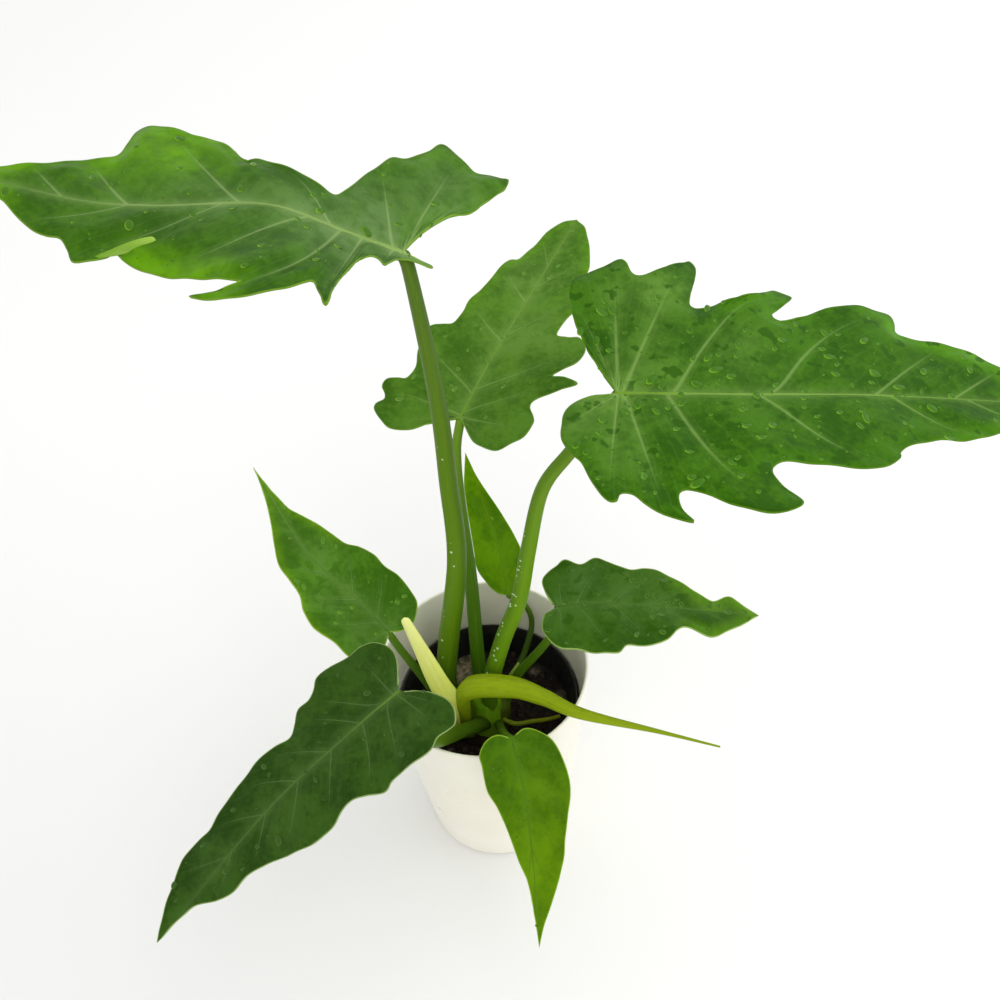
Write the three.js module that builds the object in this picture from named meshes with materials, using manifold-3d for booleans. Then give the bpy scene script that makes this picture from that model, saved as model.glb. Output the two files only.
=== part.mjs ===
import * as THREE from 'three';
import { mergeVertices } from 'three/addons/utils/BufferGeometryUtils.js';
import { TessellateModifier } from 'three/addons/modifiers/TessellateModifier.js';
import Module from 'manifold-3d';

// A lobed philodendron in a small black grower's pot that stands in a cream cover pot.
// Millimetres, +Z up, origin at the middle of the cover pot's underside, +Y to the back.

const wasm = await Module();
wasm.setup();

// Clearance between pieces that lie against each other.
const GAP = 0.3;

// Cover pot.
const COVER_HEIGHT = 153;
const COVER_RIM_RADIUS = 60;
const COVER_BASE_RADIUS = 44.5;
const COVER_WALL = 1.8;
const COVER_FLOOR = 3;
const COVER_FOOT_ROUND = 3;
const COVER_SIDES = 56;

// Grower's pot inside it.
const GROWER_HEIGHT = 114;
const GROWER_BASE_RADIUS = 39.5;
const GROWER_TOP_RADIUS = 51.2;
const GROWER_LIP_RADIUS = 53;
const GROWER_LIP_DEPTH = 6;
const GROWER_WALL = 1;
const GROWER_SIDES = 48;
const DRAIN_HOLES = 6;
const DRAIN_HOLE_RADIUS = 4;
const DRAIN_CIRCLE_RADIUS = 26;
const DRAIN_CUT = 6;
const DRAIN_SIDES = 12;

// Soil and the stem base that stands in it.
const SOIL_LEVEL = 95;
const SOIL_BUMP = 1.2;
const SOIL_SIDES = 40;
const SOIL_RINGS = 5;
const STEM_HOLE_RADIUS = 18.3;
const STEM_HOLE_CUT = 60;
const STEM_HOLE_SIDES = 32;
const STEM_BOTTOM = 72;
const STEM_FOOT_HEIGHT = 21;
const STEM_FOOT_SIDES = 24;
const SHOOT_STEPS = 5;
const SHOOT_SIDES = 14;
const STEM_CENTRE = [-6, -1];

// Leaves. A blade's triangles are split until no side is longer than the last of BLADE_EDGES.
const BLADE_THICKNESS = 0.8;
const BLADE_EDGES = [64, 36, 22];
const SPLIT_ROUNDS = 30;
const TURN_ROUNDS = 40;
const WELD = 1e-3;
const ANGLE_SLACK = 1e-6;
const MARGIN_SAMPLES = 2;
const MIDRIB_WIDTH = 2.2;
const MIDRIB_START = 0.3;
const PETIOLE_SIDES = 10;

const GREEN = { deep: 0x2f6a2a, mid: 0x4a8a34, bright: 0x6fa83a, stalk: 0x6a9c3c, lime: 0xa9c74a };

// Booleans.

function toSolid(geometry) {
  const bare = new THREE.BufferGeometry();
  bare.setAttribute('position', geometry.getAttribute('position').clone());
  if (geometry.index) bare.setIndex(geometry.index.clone());
  const merged = mergeVertices(bare, 1e-4);
  return new wasm.Manifold(new wasm.Mesh({
    numProp: 3,
    vertProperties: new Float32Array(merged.getAttribute('position').array),
    triVerts: new Uint32Array(merged.index.array),
  }));
}

function fromSolid(solid) {
  const mesh = solid.getMesh();
  const geometry = new THREE.BufferGeometry();
  geometry.setAttribute('position', new THREE.BufferAttribute(new Float32Array(mesh.vertProperties), 3));
  geometry.setIndex(new THREE.BufferAttribute(new Uint32Array(mesh.triVerts), 1));
  return geometry;
}

// A trimmed stalk keeps its largest piece.
function largest(solid) {
  const pieces = solid.decompose();
  return pieces.reduce((best, piece) => (piece.volume() > best.volume() ? piece : best));
}

function named(name, geometry, colour, roughness) {
  geometry.computeVertexNormals();
  const material = new THREE.MeshStandardMaterial({ color: colour, roughness, metalness: 0 });
  const mesh = new THREE.Mesh(geometry, material);
  mesh.name = name;
  return mesh;
}

// Pots.

function turned(profile, sides) {
  const points = profile.map(([radius, height]) => new THREE.Vector2(radius, height));
  const geometry = new THREE.LatheGeometry(points, sides);
  geometry.rotateX(Math.PI / 2);
  return geometry;
}

function coverRadius(height) {
  return COVER_BASE_RADIUS + (COVER_RIM_RADIUS - COVER_BASE_RADIUS) * height / COVER_HEIGHT;
}

function coverPot() {
  const foot = COVER_FOOT_ROUND;
  return turned([
    [0, 0],
    [COVER_BASE_RADIUS - foot, 0],
    [COVER_BASE_RADIUS - 0.3 * foot, 0.3 * foot],
    [coverRadius(foot), foot],
    [coverRadius(COVER_HEIGHT - 1), COVER_HEIGHT - 1],
    [COVER_RIM_RADIUS - 0.4, COVER_HEIGHT],
    [COVER_RIM_RADIUS - COVER_WALL + 0.4, COVER_HEIGHT],
    [coverRadius(COVER_HEIGHT - 1) - COVER_WALL, COVER_HEIGHT - 1],
    [coverRadius(COVER_FLOOR + 2) - COVER_WALL, COVER_FLOOR + 2],
    [coverRadius(COVER_FLOOR) - COVER_WALL - 2, COVER_FLOOR],
    [0, COVER_FLOOR],
  ], COVER_SIDES);
}

const growerBottom = COVER_FLOOR + GAP;
const growerTop = growerBottom + GROWER_HEIGHT;

function growerRadius(height) {
  const rise = (height - growerBottom) / (GROWER_HEIGHT - GROWER_LIP_DEPTH);
  return GROWER_BASE_RADIUS + (GROWER_TOP_RADIUS - GROWER_BASE_RADIUS) * rise;
}

function growerPot() {
  const lipBottom = growerTop - GROWER_LIP_DEPTH;
  const floor = growerBottom + GROWER_WALL;
  let pot = toSolid(turned([
    [0, growerBottom],
    [GROWER_BASE_RADIUS, growerBottom],
    [growerRadius(lipBottom), lipBottom],
    [GROWER_LIP_RADIUS - 0.3, lipBottom],
    [GROWER_LIP_RADIUS, growerTop],
    [GROWER_LIP_RADIUS - GROWER_WALL, growerTop],
    [growerRadius(lipBottom) - GROWER_WALL, lipBottom],
    [growerRadius(floor) - GROWER_WALL, floor],
    [0, floor],
  ], GROWER_SIDES));
  for (let i = 0; i < DRAIN_HOLES; i += 1) {
    const angle = 2 * Math.PI * (i + 0.5) / DRAIN_HOLES;
    const hole = new THREE.CylinderGeometry(DRAIN_HOLE_RADIUS, DRAIN_HOLE_RADIUS, DRAIN_CUT, DRAIN_SIDES);
    hole.rotateX(Math.PI / 2);
    const x = DRAIN_CIRCLE_RADIUS * Math.cos(angle);
    const y = DRAIN_CIRCLE_RADIUS * Math.sin(angle);
    hole.translate(x, y, growerBottom);
    pot = pot.subtract(toSolid(hole));
  }
  return fromSolid(pot);
}

// Soil: an uneven top in the grower's pot, with one plain hole for the stem base.

function soilTop(x, y) {
  return SOIL_LEVEL + SOIL_BUMP * (0.5 * Math.sin(0.16 * x + 1) * Math.cos(0.13 * y)
    + 0.5 * Math.sin(0.09 * x - 0.21 * y));
}

function soil() {
  const bottom = growerBottom + GROWER_WALL + GAP;
  const bottomRadius = growerRadius(bottom) - GROWER_WALL - GAP;
  const topRadius = growerRadius(SOIL_LEVEL - SOIL_BUMP) - GROWER_WALL - GAP;
  const profile = [[0, bottom], [bottomRadius, bottom]];
  for (let ring = SOIL_RINGS; ring >= 0; ring -= 1) profile.push([topRadius * ring / SOIL_RINGS, SOIL_LEVEL]);
  const geometry = turned(profile, SOIL_SIDES);
  const position = geometry.getAttribute('position');
  for (let i = 0; i < position.count; i += 1) {
    if (position.getZ(i) > SOIL_LEVEL - 0.1) position.setZ(i, soilTop(position.getX(i), position.getY(i)));
  }
  const hole = new THREE.CylinderGeometry(STEM_HOLE_RADIUS, STEM_HOLE_RADIUS, STEM_HOLE_CUT, STEM_HOLE_SIDES);
  hole.rotateX(Math.PI / 2);
  hole.translate(STEM_CENTRE[0], STEM_CENTRE[1], STEM_BOTTOM - GAP + STEM_HOLE_CUT / 2);
  return fromSolid(toSolid(geometry).subtract(toSolid(hole)));
}

// A smooth line in space through the points.
function smoothLine(points) {
  const places = points.map((p) => new THREE.Vector3(...p));
  return new THREE.CatmullRomCurve3(places, false, 'catmullrom', 0.5);
}

// Stalks: round or flattened sections along a smooth route.

function stalk({ route, radii, flat = 1, side = [1, 0, 0], sides = PETIOLE_SIDES, steps = 14, cut = null }) {
  const curve = smoothLine(route);
  const width = new THREE.SplineCurve(radii.map((r, i) => new THREE.Vector2(i / (radii.length - 1), r)));
  const across = new THREE.Vector3(...side);
  const vertices = [];
  const faces = [];
  for (let k = 0; k <= steps; k += 1) {
    const centre = curve.getPointAt(k / steps);
    const along = curve.getTangentAt(k / steps);
    const a = across.clone().addScaledVector(along, -across.dot(along)).normalize();
    const b = along.clone().cross(a);
    const radius = width.getPoint(k / steps).y;
    for (let j = 0; j < sides; j += 1) {
      const turn = 2 * Math.PI * j / sides;
      const point = centre.clone()
        .addScaledVector(a, radius * Math.cos(turn))
        .addScaledVector(b, radius * flat * Math.sin(turn));
      if (cut && k === steps) {
        const reach = cut.at.clone().sub(point).dot(cut.normal) / along.dot(cut.normal);
        point.addScaledVector(along, reach);
      }
      vertices.push(point.x, point.y, point.z);
    }
  }
  for (let k = 0; k < steps; k += 1) {
    for (let j = 0; j < sides; j += 1) {
      const p = k * sides + j;
      const q = k * sides + (j + 1) % sides;
      faces.push(p, q, q + sides, p, q + sides, p + sides);
    }
  }
  const last = steps * sides;
  for (let j = 1; j < sides - 1; j += 1) {
    faces.push(0, j + 1, j);
    faces.push(last, last + j, last + j + 1);
  }
  const geometry = new THREE.BufferGeometry();
  geometry.setAttribute('position', new THREE.Float32BufferAttribute(vertices, 3));
  geometry.setIndex(faces);
  return geometry;
}

// Stem base: a round foot in the soil and three short shoots that the petioles leave.

const shoots = [
  { route: [[-13, -3, 88], [-16, -2, 104], [-19, -1, 116]], radii: [8, 8, 6.5] },
  { route: [[-3, -3, 88], [-2, -1, 106], [-1, 1, 120]], radii: [10, 10, 8] },
  { route: [[2, -2, 88], [5, 0, 102], [7, 2, 112]], radii: [7.5, 7.5, 6] },
];

function stemBase(grow) {
  const radius = STEM_HOLE_RADIUS - GAP;
  const foot = new THREE.CylinderGeometry(radius, radius, STEM_FOOT_HEIGHT, STEM_FOOT_SIDES);
  foot.rotateX(Math.PI / 2);
  foot.translate(STEM_CENTRE[0], STEM_CENTRE[1], STEM_BOTTOM + STEM_FOOT_HEIGHT / 2);
  return shoots.reduce((whole, shoot) => {
    const radii = shoot.radii.map((r) => r + grow);
    const top = shoot.route[2];
    const route = [...shoot.route.slice(0, 2), [top[0], top[1], top[2] + grow]];
    return whole.add(toSolid(stalk({ route, radii, steps: SHOOT_STEPS, sides: SHOOT_SIDES })));
  }, toSolid(foot));
}

const stemClear = stemBase(GAP);

// The room a stalk takes with its clearance, also past its lower end.
function roomOf(spec) {
  const [start, next] = spec.route.map((p) => new THREE.Vector3(...p));
  const before = start.clone().addScaledVector(next.clone().sub(start).normalize(), -GAP);
  const route = [before.toArray(), ...spec.route.slice(1)];
  return toSolid(stalk({ ...spec, route, radii: spec.radii.map((r) => r + 1.4 * GAP) }));
}

// A stalk that starts at the stem base and leaves its neighbours their room.
function rooted(spec, neighbours = []) {
  const whole = toSolid(stalk(spec)).subtract(stemClear);
  return fromSolid(largest(neighbours.reduce((rest, other) => rest.subtract(roomOf(other)), whole)));
}

// Leaves. rib: points along the midrib from the petiole to the tip.
// left and right: the margin on each side, as [distance along the rib, distance from it].
// fold: how steeply each half rises from the midrib, in degrees, at the base and beyond the middle.

const leaves = [
  {
    // upper left, long lobed blade held level
    rib: [[-13, 20, 445], [-38, 24, 457], [-67, 30, 469], [-116, 38, 468], [-149, 46, 469], [-197, 64, 475]],
    roll: -6,
    fold: { left: [30, 0], right: [-8, -10] },
    curl: 0,
    ripple: { height: 0.6, length: 60, reach: 60 },
    left: [[-3, 0.3], [-8, 0.8], [-13, 1.5], [-14, 3], [-12, 4.8], [-7, 4.6], [-2, 5], [2, 9], [4, 13],
      [6, 17], [8, 21], [10, 17], [13, 16], [16, 19], [19, 26], [22, 38], [25, 52], [26, 62], [27, 74],
      [30, 64], [33, 53], [36, 54], [43, 61], [52, 67], [63, 68], [70, 65], [79, 59.5], [72, 60],
      [65, 60.5], [58, 57], [67, 53], [77, 49], [86, 45.5], [95, 42], [104, 37.5], [113, 32], [118, 27.5],
      [121, 30], [126, 32.5], [132, 34], [136, 28], [141, 22.5], [147, 22], [154, 20.5], [165, 14],
      [173, 9], [182, 6], [190, 3]],
    right: [[-1, 3], [-3, 8], [-8, 19], [-13, 29], [-18, 35], [-24, 39], [-29, 45], [-33, 53], [-38, 62],
      [-42, 69], [-43, 77], [-39, 75.5], [-33, 75], [-27, 73], [-24, 74], [-18, 79], [-11, 82.5], [-7, 81],
      [-3, 74], [5, 64], [12, 61], [17, 53], [25, 38], [31, 25], [36, 20], [47, 24], [62, 29], [70, 32],
      [75, 31], [82, 39], [90, 47], [102, 52], [113, 57], [124, 60], [133, 59], [138.5, 54], [138, 44],
      [140, 34], [151, 28], [161, 22], [173, 16], [184, 9]],
    petiole: {
      route: [[-20, 0, 106], [-24, 7, 127], [-19, 12, 165], [-8, 12, 239], [-7, 16, 300], [-7, 20, 354],
        [-11, 20, 430], [-13, 20, 445]],
      radii: [6.2, 5.9, 5, 4.1, 3],
      steps: 20,
    },
    midrib: 2.4,
    colour: GREEN.mid,
  },
  {
    // upper right, the broadest blade, facing up
    rib: [[75, -10, 378], [129, -16, 376], [195, -12, 362], [285, -5, 336]],
    roll: 0,
    fold: { left: [8, 4], right: [8, 4] },
    curl: 0.6,
    ripple: { height: 2, length: 55, reach: 60 },
    left: [[-2, 3], [-6, 10], [-13, 24], [-19, 41], [-22, 56], [-22, 66], [-20, 73], [-13, 77], [-6, 80],
      [1, 83], [4, 80], [6, 73], [9, 70], [14, 71], [24, 79], [31, 83], [36, 86], [40, 81], [38, 72],
      [34, 58], [35, 54], [41, 53], [58, 58], [73, 62], [84, 67], [91, 70], [99, 67], [94, 61], [83, 51],
      [83, 48], [89, 48], [100, 52], [112, 56], [125, 58], [138, 58], [146, 56], [147, 50], [145, 43],
      [149, 40], [164, 37], [178, 32], [194, 22], [206, 11]],
    right: [[-4, 1], [-12, 2], [-19, 6], [-24, 14], [-25, 22], [-25, 31], [-20, 41], [-16, 47], [-12, 59],
      [-6, 70], [-2, 71], [0, 66], [6, 65], [12, 69], [21, 73], [31, 77], [27, 69], [26, 62], [29, 59],
      [36, 63], [45, 71], [54, 75], [66, 67], [60, 58], [58, 50], [62, 44], [70, 43], [86, 45], [98, 48],
      [108, 46], [116, 41], [118, 37], [125, 32], [140, 28], [155, 28], [174, 22], [190, 16], [205, 8]],
    petiole: {
      route: [[0, -4, 108], [2, -2, 135], [12, 0, 177], [23, 0, 214], [30, 0, 257], [39, 0, 304],
        [53, -2, 332], [68, -8, 362], [75, -10, 378]],
      radii: [5, 4.8, 4.3, 3.5, 2.9],
      steps: 20,
    },
    midrib: 2.4,
    colour: GREEN.deep,
  },
  {
    // middle back, lobed
    rib: [[1, 75, 282], [20, 106, 292], [44, 144, 299], [79, 209, 300]],
    roll: 0,
    fold: { left: [10, 5], right: [10, 5] },
    curl: 0.5,
    ripple: { height: 1.5, length: 45, reach: 45 },
    left: [[-2, 2], [-5, 7], [-10, 14], [-17, 22], [-21, 32], [-18, 40], [-14, 46], [-10, 47], [-6, 44],
      [-3, 45], [0, 48], [5, 47], [8, 42], [10, 37], [18, 36], [28, 40], [38, 42], [44, 41], [48, 35],
      [51, 30], [59, 29], [69, 30], [80, 28], [89, 26], [100, 25], [109, 22], [112, 18], [122, 15],
      [132, 13], [143, 11], [152, 6]],
    right: [[-1, 1], [-6, 7], [-11, 13], [-13, 19], [-13, 29], [-7, 36], [-1, 41], [8, 42], [12, 40],
      [18, 35], [24, 38], [31, 47], [37, 55], [39, 47], [38, 39], [43, 42], [51, 47], [62, 47], [68, 40],
      [66, 34], [66, 27], [78, 28], [90, 33], [98, 36], [104, 34], [107, 27], [114, 24], [120, 23],
      [135, 17], [146, 11], [152, 7]],
    petiole: {
      route: [[-3, 4, 108], [-4, 15, 136], [-3, 36, 188], [-4, 56, 236], [-3, 67, 265], [1, 75, 282]],
      radii: [4.6, 4.1, 3.7, 2.9, 2.5],
      steps: 16,
    },
    midrib: 2,
    colour: GREEN.mid,
  },
  {
    // left, juvenile heart shape with a long tip
    rib: [[-52, 10, 181], [-68, 28, 190], [-97, 61, 199], [-129, 125, 203]],
    roll: 0,
    fold: { left: [14, 10], right: [14, 10] },
    curl: 0.5,
    ripple: { height: 1, length: 40, reach: 28 },
    left: [[-2, 2], [-5, 8], [-7, 15], [-6, 22], [-1, 28], [6, 30], [14, 30], [23, 32], [32, 32], [41, 29],
      [49, 23], [60, 20], [69, 19], [82, 14], [96, 9], [111, 5], [127, 2]],
    right: [[-1, 1], [-5, 7], [-6, 13], [-3, 19], [2, 24], [10, 26], [21, 27], [29, 25], [37, 26], [48, 24],
      [58, 20], [73, 17], [88, 12], [101, 6], [116, 3], [130, 1]],
    petiole: {
      route: [[-15, -5, 102], [-27, -4, 124], [-39, 3, 150], [-47, 7, 168], [-52, 10, 181]],
      radii: [2.6, 2.5, 2.2],
      steps: 10,
    },
    midrib: 1.5,
    colour: GREEN.deep,
  },
  {
    // lower left, long dark wavy blade that hangs outwards
    rib: [[-45, -50, 212], [-71, -64, 200], [-118, -92, 177], [-182, -140, 136]],
    roll: 0,
    fold: { left: [8, 2], right: [8, 2] },
    curl: 1.5,
    ripple: { height: 2.5, length: 38, reach: 38 },
    left: [[-4, 3], [-9, 7], [-14, 13], [-19, 22], [-20, 31], [-16, 37], [-10, 37], [-4, 37], [2, 41],
      [9, 42], [20, 39], [29, 38], [35, 40], [43, 36], [51, 32], [60, 32], [70, 34], [82, 34], [95, 28],
      [109, 21], [120, 17], [133, 16], [142, 12], [152, 4.5], [160, 2], [170, 0.8]],
    right: [[-3, 3], [-8, 10], [-11, 17], [-11, 23], [-7, 30], [-2, 33], [9, 36], [21, 39], [29, 38],
      [34, 33], [40, 31], [48, 32], [54, 27], [60, 22], [68, 24], [78, 25], [86, 25], [100, 23], [110, 21],
      [121, 19], [129, 20], [140, 20.5], [147, 18], [157, 14], [168, 9]],
    petiole: {
      route: [[-3, -7, 102], [-17, -32, 136], [-31, -55, 168], [-40, -57, 191], [-45, -50, 212]],
      radii: [4.6, 4.3, 3.9, 3.4, 2.8],
      steps: 14,
    },
    midrib: 2,
    colour: GREEN.deep,
  },
  {
    // front, small bright blade that hangs over the rim
    rib: [[12, -58, 168], [16, -84, 146], [17, -112, 113], [16, -139, 78]],
    roll: 0,
    fold: { left: [14, 8], right: [14, 8] },
    curl: 0.5,
    ripple: { height: 1, length: 40, reach: 24 },
    left: [[-2, 3], [-4, 8], [-2, 14], [3, 20], [9, 23], [18, 25], [27, 26], [35, 25], [45, 22], [58, 19],
      [70, 17], [88, 11], [99, 7], [110, 3]],
    right: [[-1, 2], [-4, 8], [-2, 15], [4, 20], [10, 20], [24, 20], [35, 16], [50, 12], [68, 8], [82, 4],
      [99, 2], [110, 1]],
    petiole: {
      route: [[4, -5, 98], [6, -24, 120], [8, -42, 146], [11, -55, 163], [12, -58, 168]],
      radii: [2.8, 2.4, 2],
      steps: 10,
    },
    midrib: 1.4,
    colour: GREEN.bright,
  },
  {
    // right, wavy blade
    rib: [[44, 0, 204], [67, 0, 204], [108, -4, 198], [155, -5, 184]],
    roll: 0,
    fold: { left: [8, 4], right: [8, 4] },
    curl: 0.5,
    ripple: { height: 2, length: 34, reach: 30 },
    left: [[-3, 2], [-6, 10], [-7, 18], [-2, 24], [3, 26], [8, 28], [15, 25], [22, 30], [28, 28], [39, 22],
      [48, 24], [58, 24], [70, 17], [78, 12], [87, 7], [97, 11], [103, 8]],
    right: [[-4, 2], [-8, 5], [-10, 14], [-7, 24], [-1, 31], [9, 32], [22, 35], [32, 36], [38, 29],
      [51, 26], [59, 22], [65, 15], [71, 13], [82, 18], [93, 13], [102, 8]],
    petiole: {
      route: [[8, 2, 100], [14, 5, 118], [20, 5, 135], [32, 3, 158], [39, 1, 175], [43, 0, 192],
        [44, 0, 204]],
      radii: [3, 2.8, 2.4, 2.1],
      steps: 12,
    },
    midrib: 1.5,
    colour: GREEN.deep,
  },
  {
    // back, small bright blade behind the petioles
    rib: [[17, 45, 158], [15, 63, 173], [9, 85, 190], [0, 118, 206]],
    roll: 0,
    fold: { left: [15, 12], right: [15, 12] },
    curl: 0,
    ripple: { height: 0.5, length: 40, reach: 15 },
    left: [[0, 2], [2, 6], [8, 11], [19, 16], [32, 15], [50, 12], [69, 8], [80, 4]],
    right: [[0, 2], [1, 6], [6, 11], [14, 13], [24, 13], [30, 12], [44, 9], [56, 6], [67, 3], [78, 1]],
    petiole: {
      route: [[8, 5, 100], [16, 18, 110], [24, 29, 119], [30, 39, 134], [27, 43, 148], [20, 44, 155],
        [17, 45, 158]],
      radii: [2, 1.8, 1.4],
      steps: 12,
    },
    midrib: 1.1,
    colour: GREEN.bright,
  },
];

const UP = new THREE.Vector3(0, 0, 1);

// The blade's middle surface: a point for each place [u, v], u along the midrib, v across it.
function bladeSurface(leaf) {
  const curve = smoothLine(leaf.rib);
  const length = curve.getLength();
  const roll = THREE.MathUtils.degToRad(leaf.roll);
  const point = (u, v) => {
    const share = THREE.MathUtils.clamp(u / length, 0, 1);
    const along = curve.getTangentAt(share);
    const level = UP.clone().cross(along).normalize();
    const rise = along.clone().cross(level);
    const across = level.clone().multiplyScalar(Math.cos(roll)).addScaledVector(rise, Math.sin(roll));
    const normal = rise.clone().multiplyScalar(Math.cos(roll)).addScaledVector(level, -Math.sin(roll));
    const [near, far] = v > 0 ? leaf.fold.left : leaf.fold.right;
    const fold = THREE.MathUtils.degToRad(near + (far - near) * THREE.MathUtils.smoothstep(share, 0, 0.6));
    const { height, length: wave, reach } = leaf.ripple;
    const swing = Math.sin(2 * Math.PI * u / wave + (v > 0 ? 0 : 2)) * Math.min((v / reach) ** 2, 1.5);
    const lift = (Math.sqrt(v * v + 9) - 3) * Math.sin(fold) - leaf.curl * v * v / 1000 + height * swing;
    return curve.getPointAt(share)
      .addScaledVector(along, u - share * length)
      .addScaledVector(across, v * Math.cos(fold))
      .addScaledVector(normal, lift);
  };
  const normal = (u, v) => {
    const du = point(u + 0.5, v).sub(point(u - 0.5, v));
    const dv = point(u, v + 0.5).sub(point(u, v - 0.5));
    return du.cross(dv).normalize();
  };
  return { point, normal, length };
}

// The margin of one half: a smooth line from the petiole, up to the tip.
function smoothMargin(points, tip) {
  const line = new THREE.SplineCurve([...points.map((p) => new THREE.Vector2(...p)), tip]);
  return line.getPoints(points.length * MARGIN_SAMPLES).slice(0, -1);
}

// Turns the shared side of two faces wherever that makes both of them rounder.
function roundFaces(faces, points) {
  const angle = (at, from, to) => from.clone().sub(at).angleTo(to.clone().sub(at));
  const owner = new Map();
  const claim = (face) => face.forEach((a, k) => owner.set(`${a} ${face[(k + 1) % 3]}`, face));
  faces.forEach(claim);
  let turned = 1;
  for (let round = 0; round < TURN_ROUNDS && turned > 0; round += 1) {
    turned = 0;
    for (const face of faces) {
      for (let k = 0; k < 3; k += 1) {
        const [a, b, c] = [0, 1, 2].map((step) => face[(k + step) % 3]);
        const other = owner.get(`${b} ${a}`);
        const d = other?.find((corner) => corner !== a && corner !== b);
        const [pa, pb, pc, pd] = [a, b, c, d].map((corner) => points[corner]);
        if (other && angle(pc, pa, pb) + angle(pd, pb, pa) > Math.PI + ANGLE_SLACK) {
          face.splice(0, 3, a, d, c);
          other.splice(0, 3, b, c, d);
          claim(face);
          claim(other);
          owner.delete(`${a} ${b}`);
          owner.delete(`${b} ${a}`);
          turned += 1;
          break;
        }
      }
    }
  }
}

function flatPoints(geometry) {
  const { position } = geometry.attributes;
  const at = (_, k) => new THREE.Vector2().fromBufferAttribute(position, k);
  return Array.from({ length: position.count }, at);
}

function indexFaces(geometry) {
  const { index } = geometry;
  return Array.from({ length: index.count / 3 }, (_, k) => [0, 1, 2].map((c) => index.getX(3 * k + c)));
}

// A flat outline filled with small triangles, as corners of x and y, three to a face.
function fillOutline(outline) {
  let points = outline;
  let faces = THREE.ShapeUtils.triangulateShape(outline, []);
  BLADE_EDGES.forEach((longest) => {
    roundFaces(faces, points);
    const coarse = new THREE.BufferGeometry().setFromPoints(faces.flat().map((corner) => points[corner]));
    const fine = mergeVertices(new TessellateModifier(longest, SPLIT_ROUNDS).modify(coarse), WELD);
    points = flatPoints(fine);
    faces = indexFaces(fine);
  });
  roundFaces(faces, points);
  return faces.flat().map((corner) => points[corner]);
}

// The blade laid flat: each half is a slim strip along the midrib and the field beyond it.
function flatBlade(leaf, length) {
  const base = new THREE.Vector2(0, 0);
  const shoulder = new THREE.Vector2(MIDRIB_START, MIDRIB_WIDTH);
  const tip = new THREE.Vector2(length, 0);
  const corners = [leaf.left, leaf.right].flatMap((points, right) => {
    const strip = fillOutline([base, tip, shoulder]);
    const field = fillOutline([base, shoulder, tip, ...smoothMargin(points, tip).reverse()]);
    const half = [...strip, ...field].map((p) => new THREE.Vector3(p.x, right ? -p.y : p.y, 0));
    return right ? half.reverse() : half;
  });
  return mergeVertices(new THREE.BufferGeometry().setFromPoints(corners), WELD);
}

// A thin blade: the flat net, bent to its shape, once for the upper and once for the lower face.
function blade(leaf) {
  const { point, normal, length } = bladeSurface(leaf);
  const flat = flatBlade(leaf, length);
  const places = flatPoints(flat).map((p) => [p.x, p.y]);
  const faces = indexFaces(flat);

  const vertices = [];
  const half = BLADE_THICKNESS / 2;
  for (const lower of [false, true]) {
    for (const [u, v] of places) {
      const ridge = v === 0 ? leaf.midrib * (1 - 0.9 * u / length) : 0;
      const out = lower ? -half - ridge : half;
      const p = point(u, v).addScaledVector(normal(u, v), out);
      vertices.push(p.x, p.y, p.z);
    }
  }
  const under = places.length;
  const index = [];
  const open = new Map();
  faces.forEach(([a, b, c]) => {
    index.push(a, b, c, a + under, c + under, b + under);
    [[a, b], [b, c], [c, a]].forEach(([p, q]) => {
      if (!open.delete(`${q} ${p}`)) open.set(`${p} ${q}`, [p, q]);
    });
  });
  open.forEach(([p, q]) => index.push(p, p + under, q + under, p, q + under, q));
  const geometry = new THREE.BufferGeometry();
  geometry.setAttribute('position', new THREE.Float32BufferAttribute(vertices, 3));
  geometry.setIndex(index);
  return geometry;
}

// The petiole ends just under the blade's midrib.
function petiole(leaf) {
  const { point, normal } = bladeSurface(leaf);
  const away = normal(0, 0);
  const below = BLADE_THICKNESS / 2 + leaf.midrib + GAP;
  const cut = { at: point(0, 0).addScaledVector(away, -below), normal: away };
  return rooted({ ...leaf.petiole, cut }, leaf.besides ?? []);
}

const plant = new THREE.Group();
plant.add(named('cover_pot', coverPot(), 0xf1ede4, 0.35));
plant.add(named('nursery_pot', growerPot(), 0x141414, 0.55));
plant.add(named('soil', soil(), 0x2a211b, 0.95));
plant.add(named('stem_base', fromSolid(stemBase(0)), 0x5c8a34, 0.5));

// The fourth leaf's petiole passes close in front of the first one's.
leaves[3].besides = [leaves[0].petiole];

leaves.forEach((leaf, i) => {
  plant.add(named(`leaf_${i + 1}_petiole`, petiole(leaf), GREEN.stalk, 0.4));
  plant.add(named(`leaf_${i + 1}_blade`, blade(leaf), leaf.colour, 0.35));
});

// Pale sheath that wrapped the newest leaf, the leaf still rolled, a bud and a root on the soil.
const rolledLeaf = {
  route: [[-16, -10, 101], [-12, -13, 148], [13, -20, 159], [31, -31, 163], [51, -47, 168], [90, -67, 176],
    [120, -83, 182]],
  radii: [5.5, 6, 6.5, 4.5, 2.6, 1.2, 0.5],
  flat: 0.75,
  side: [0, 1, 0.6],
  steps: 18,
};
const cataphyll = {
  route: [[-17, -12, 106], [-21, -12, 135], [-27, -8, 152], [-34, -1, 176], [-41, 5, 201]],
  radii: [5.5, 7, 6, 4.2, 2.6],
  flat: 0.6,
  steps: 12,
};
const bud = {
  route: [[8, 5, 104], [14, 11, 119], [20, 15, 130]],
  radii: [2.6, 2.4, 0.6],
  steps: 5,
  sides: 8,
};
const aerialRoot = {
  route: [[5, -5, 103], [14, -10, 102], [24, -9, 101], [34, -8, 100], [42, -6, 99]],
  radii: [1.5, 1.4, 1.2],
  steps: 10,
  sides: 8,
};
const [, , , , fifth, sixth, seventh, eighth] = leaves.map((leaf) => leaf.petiole);
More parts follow.
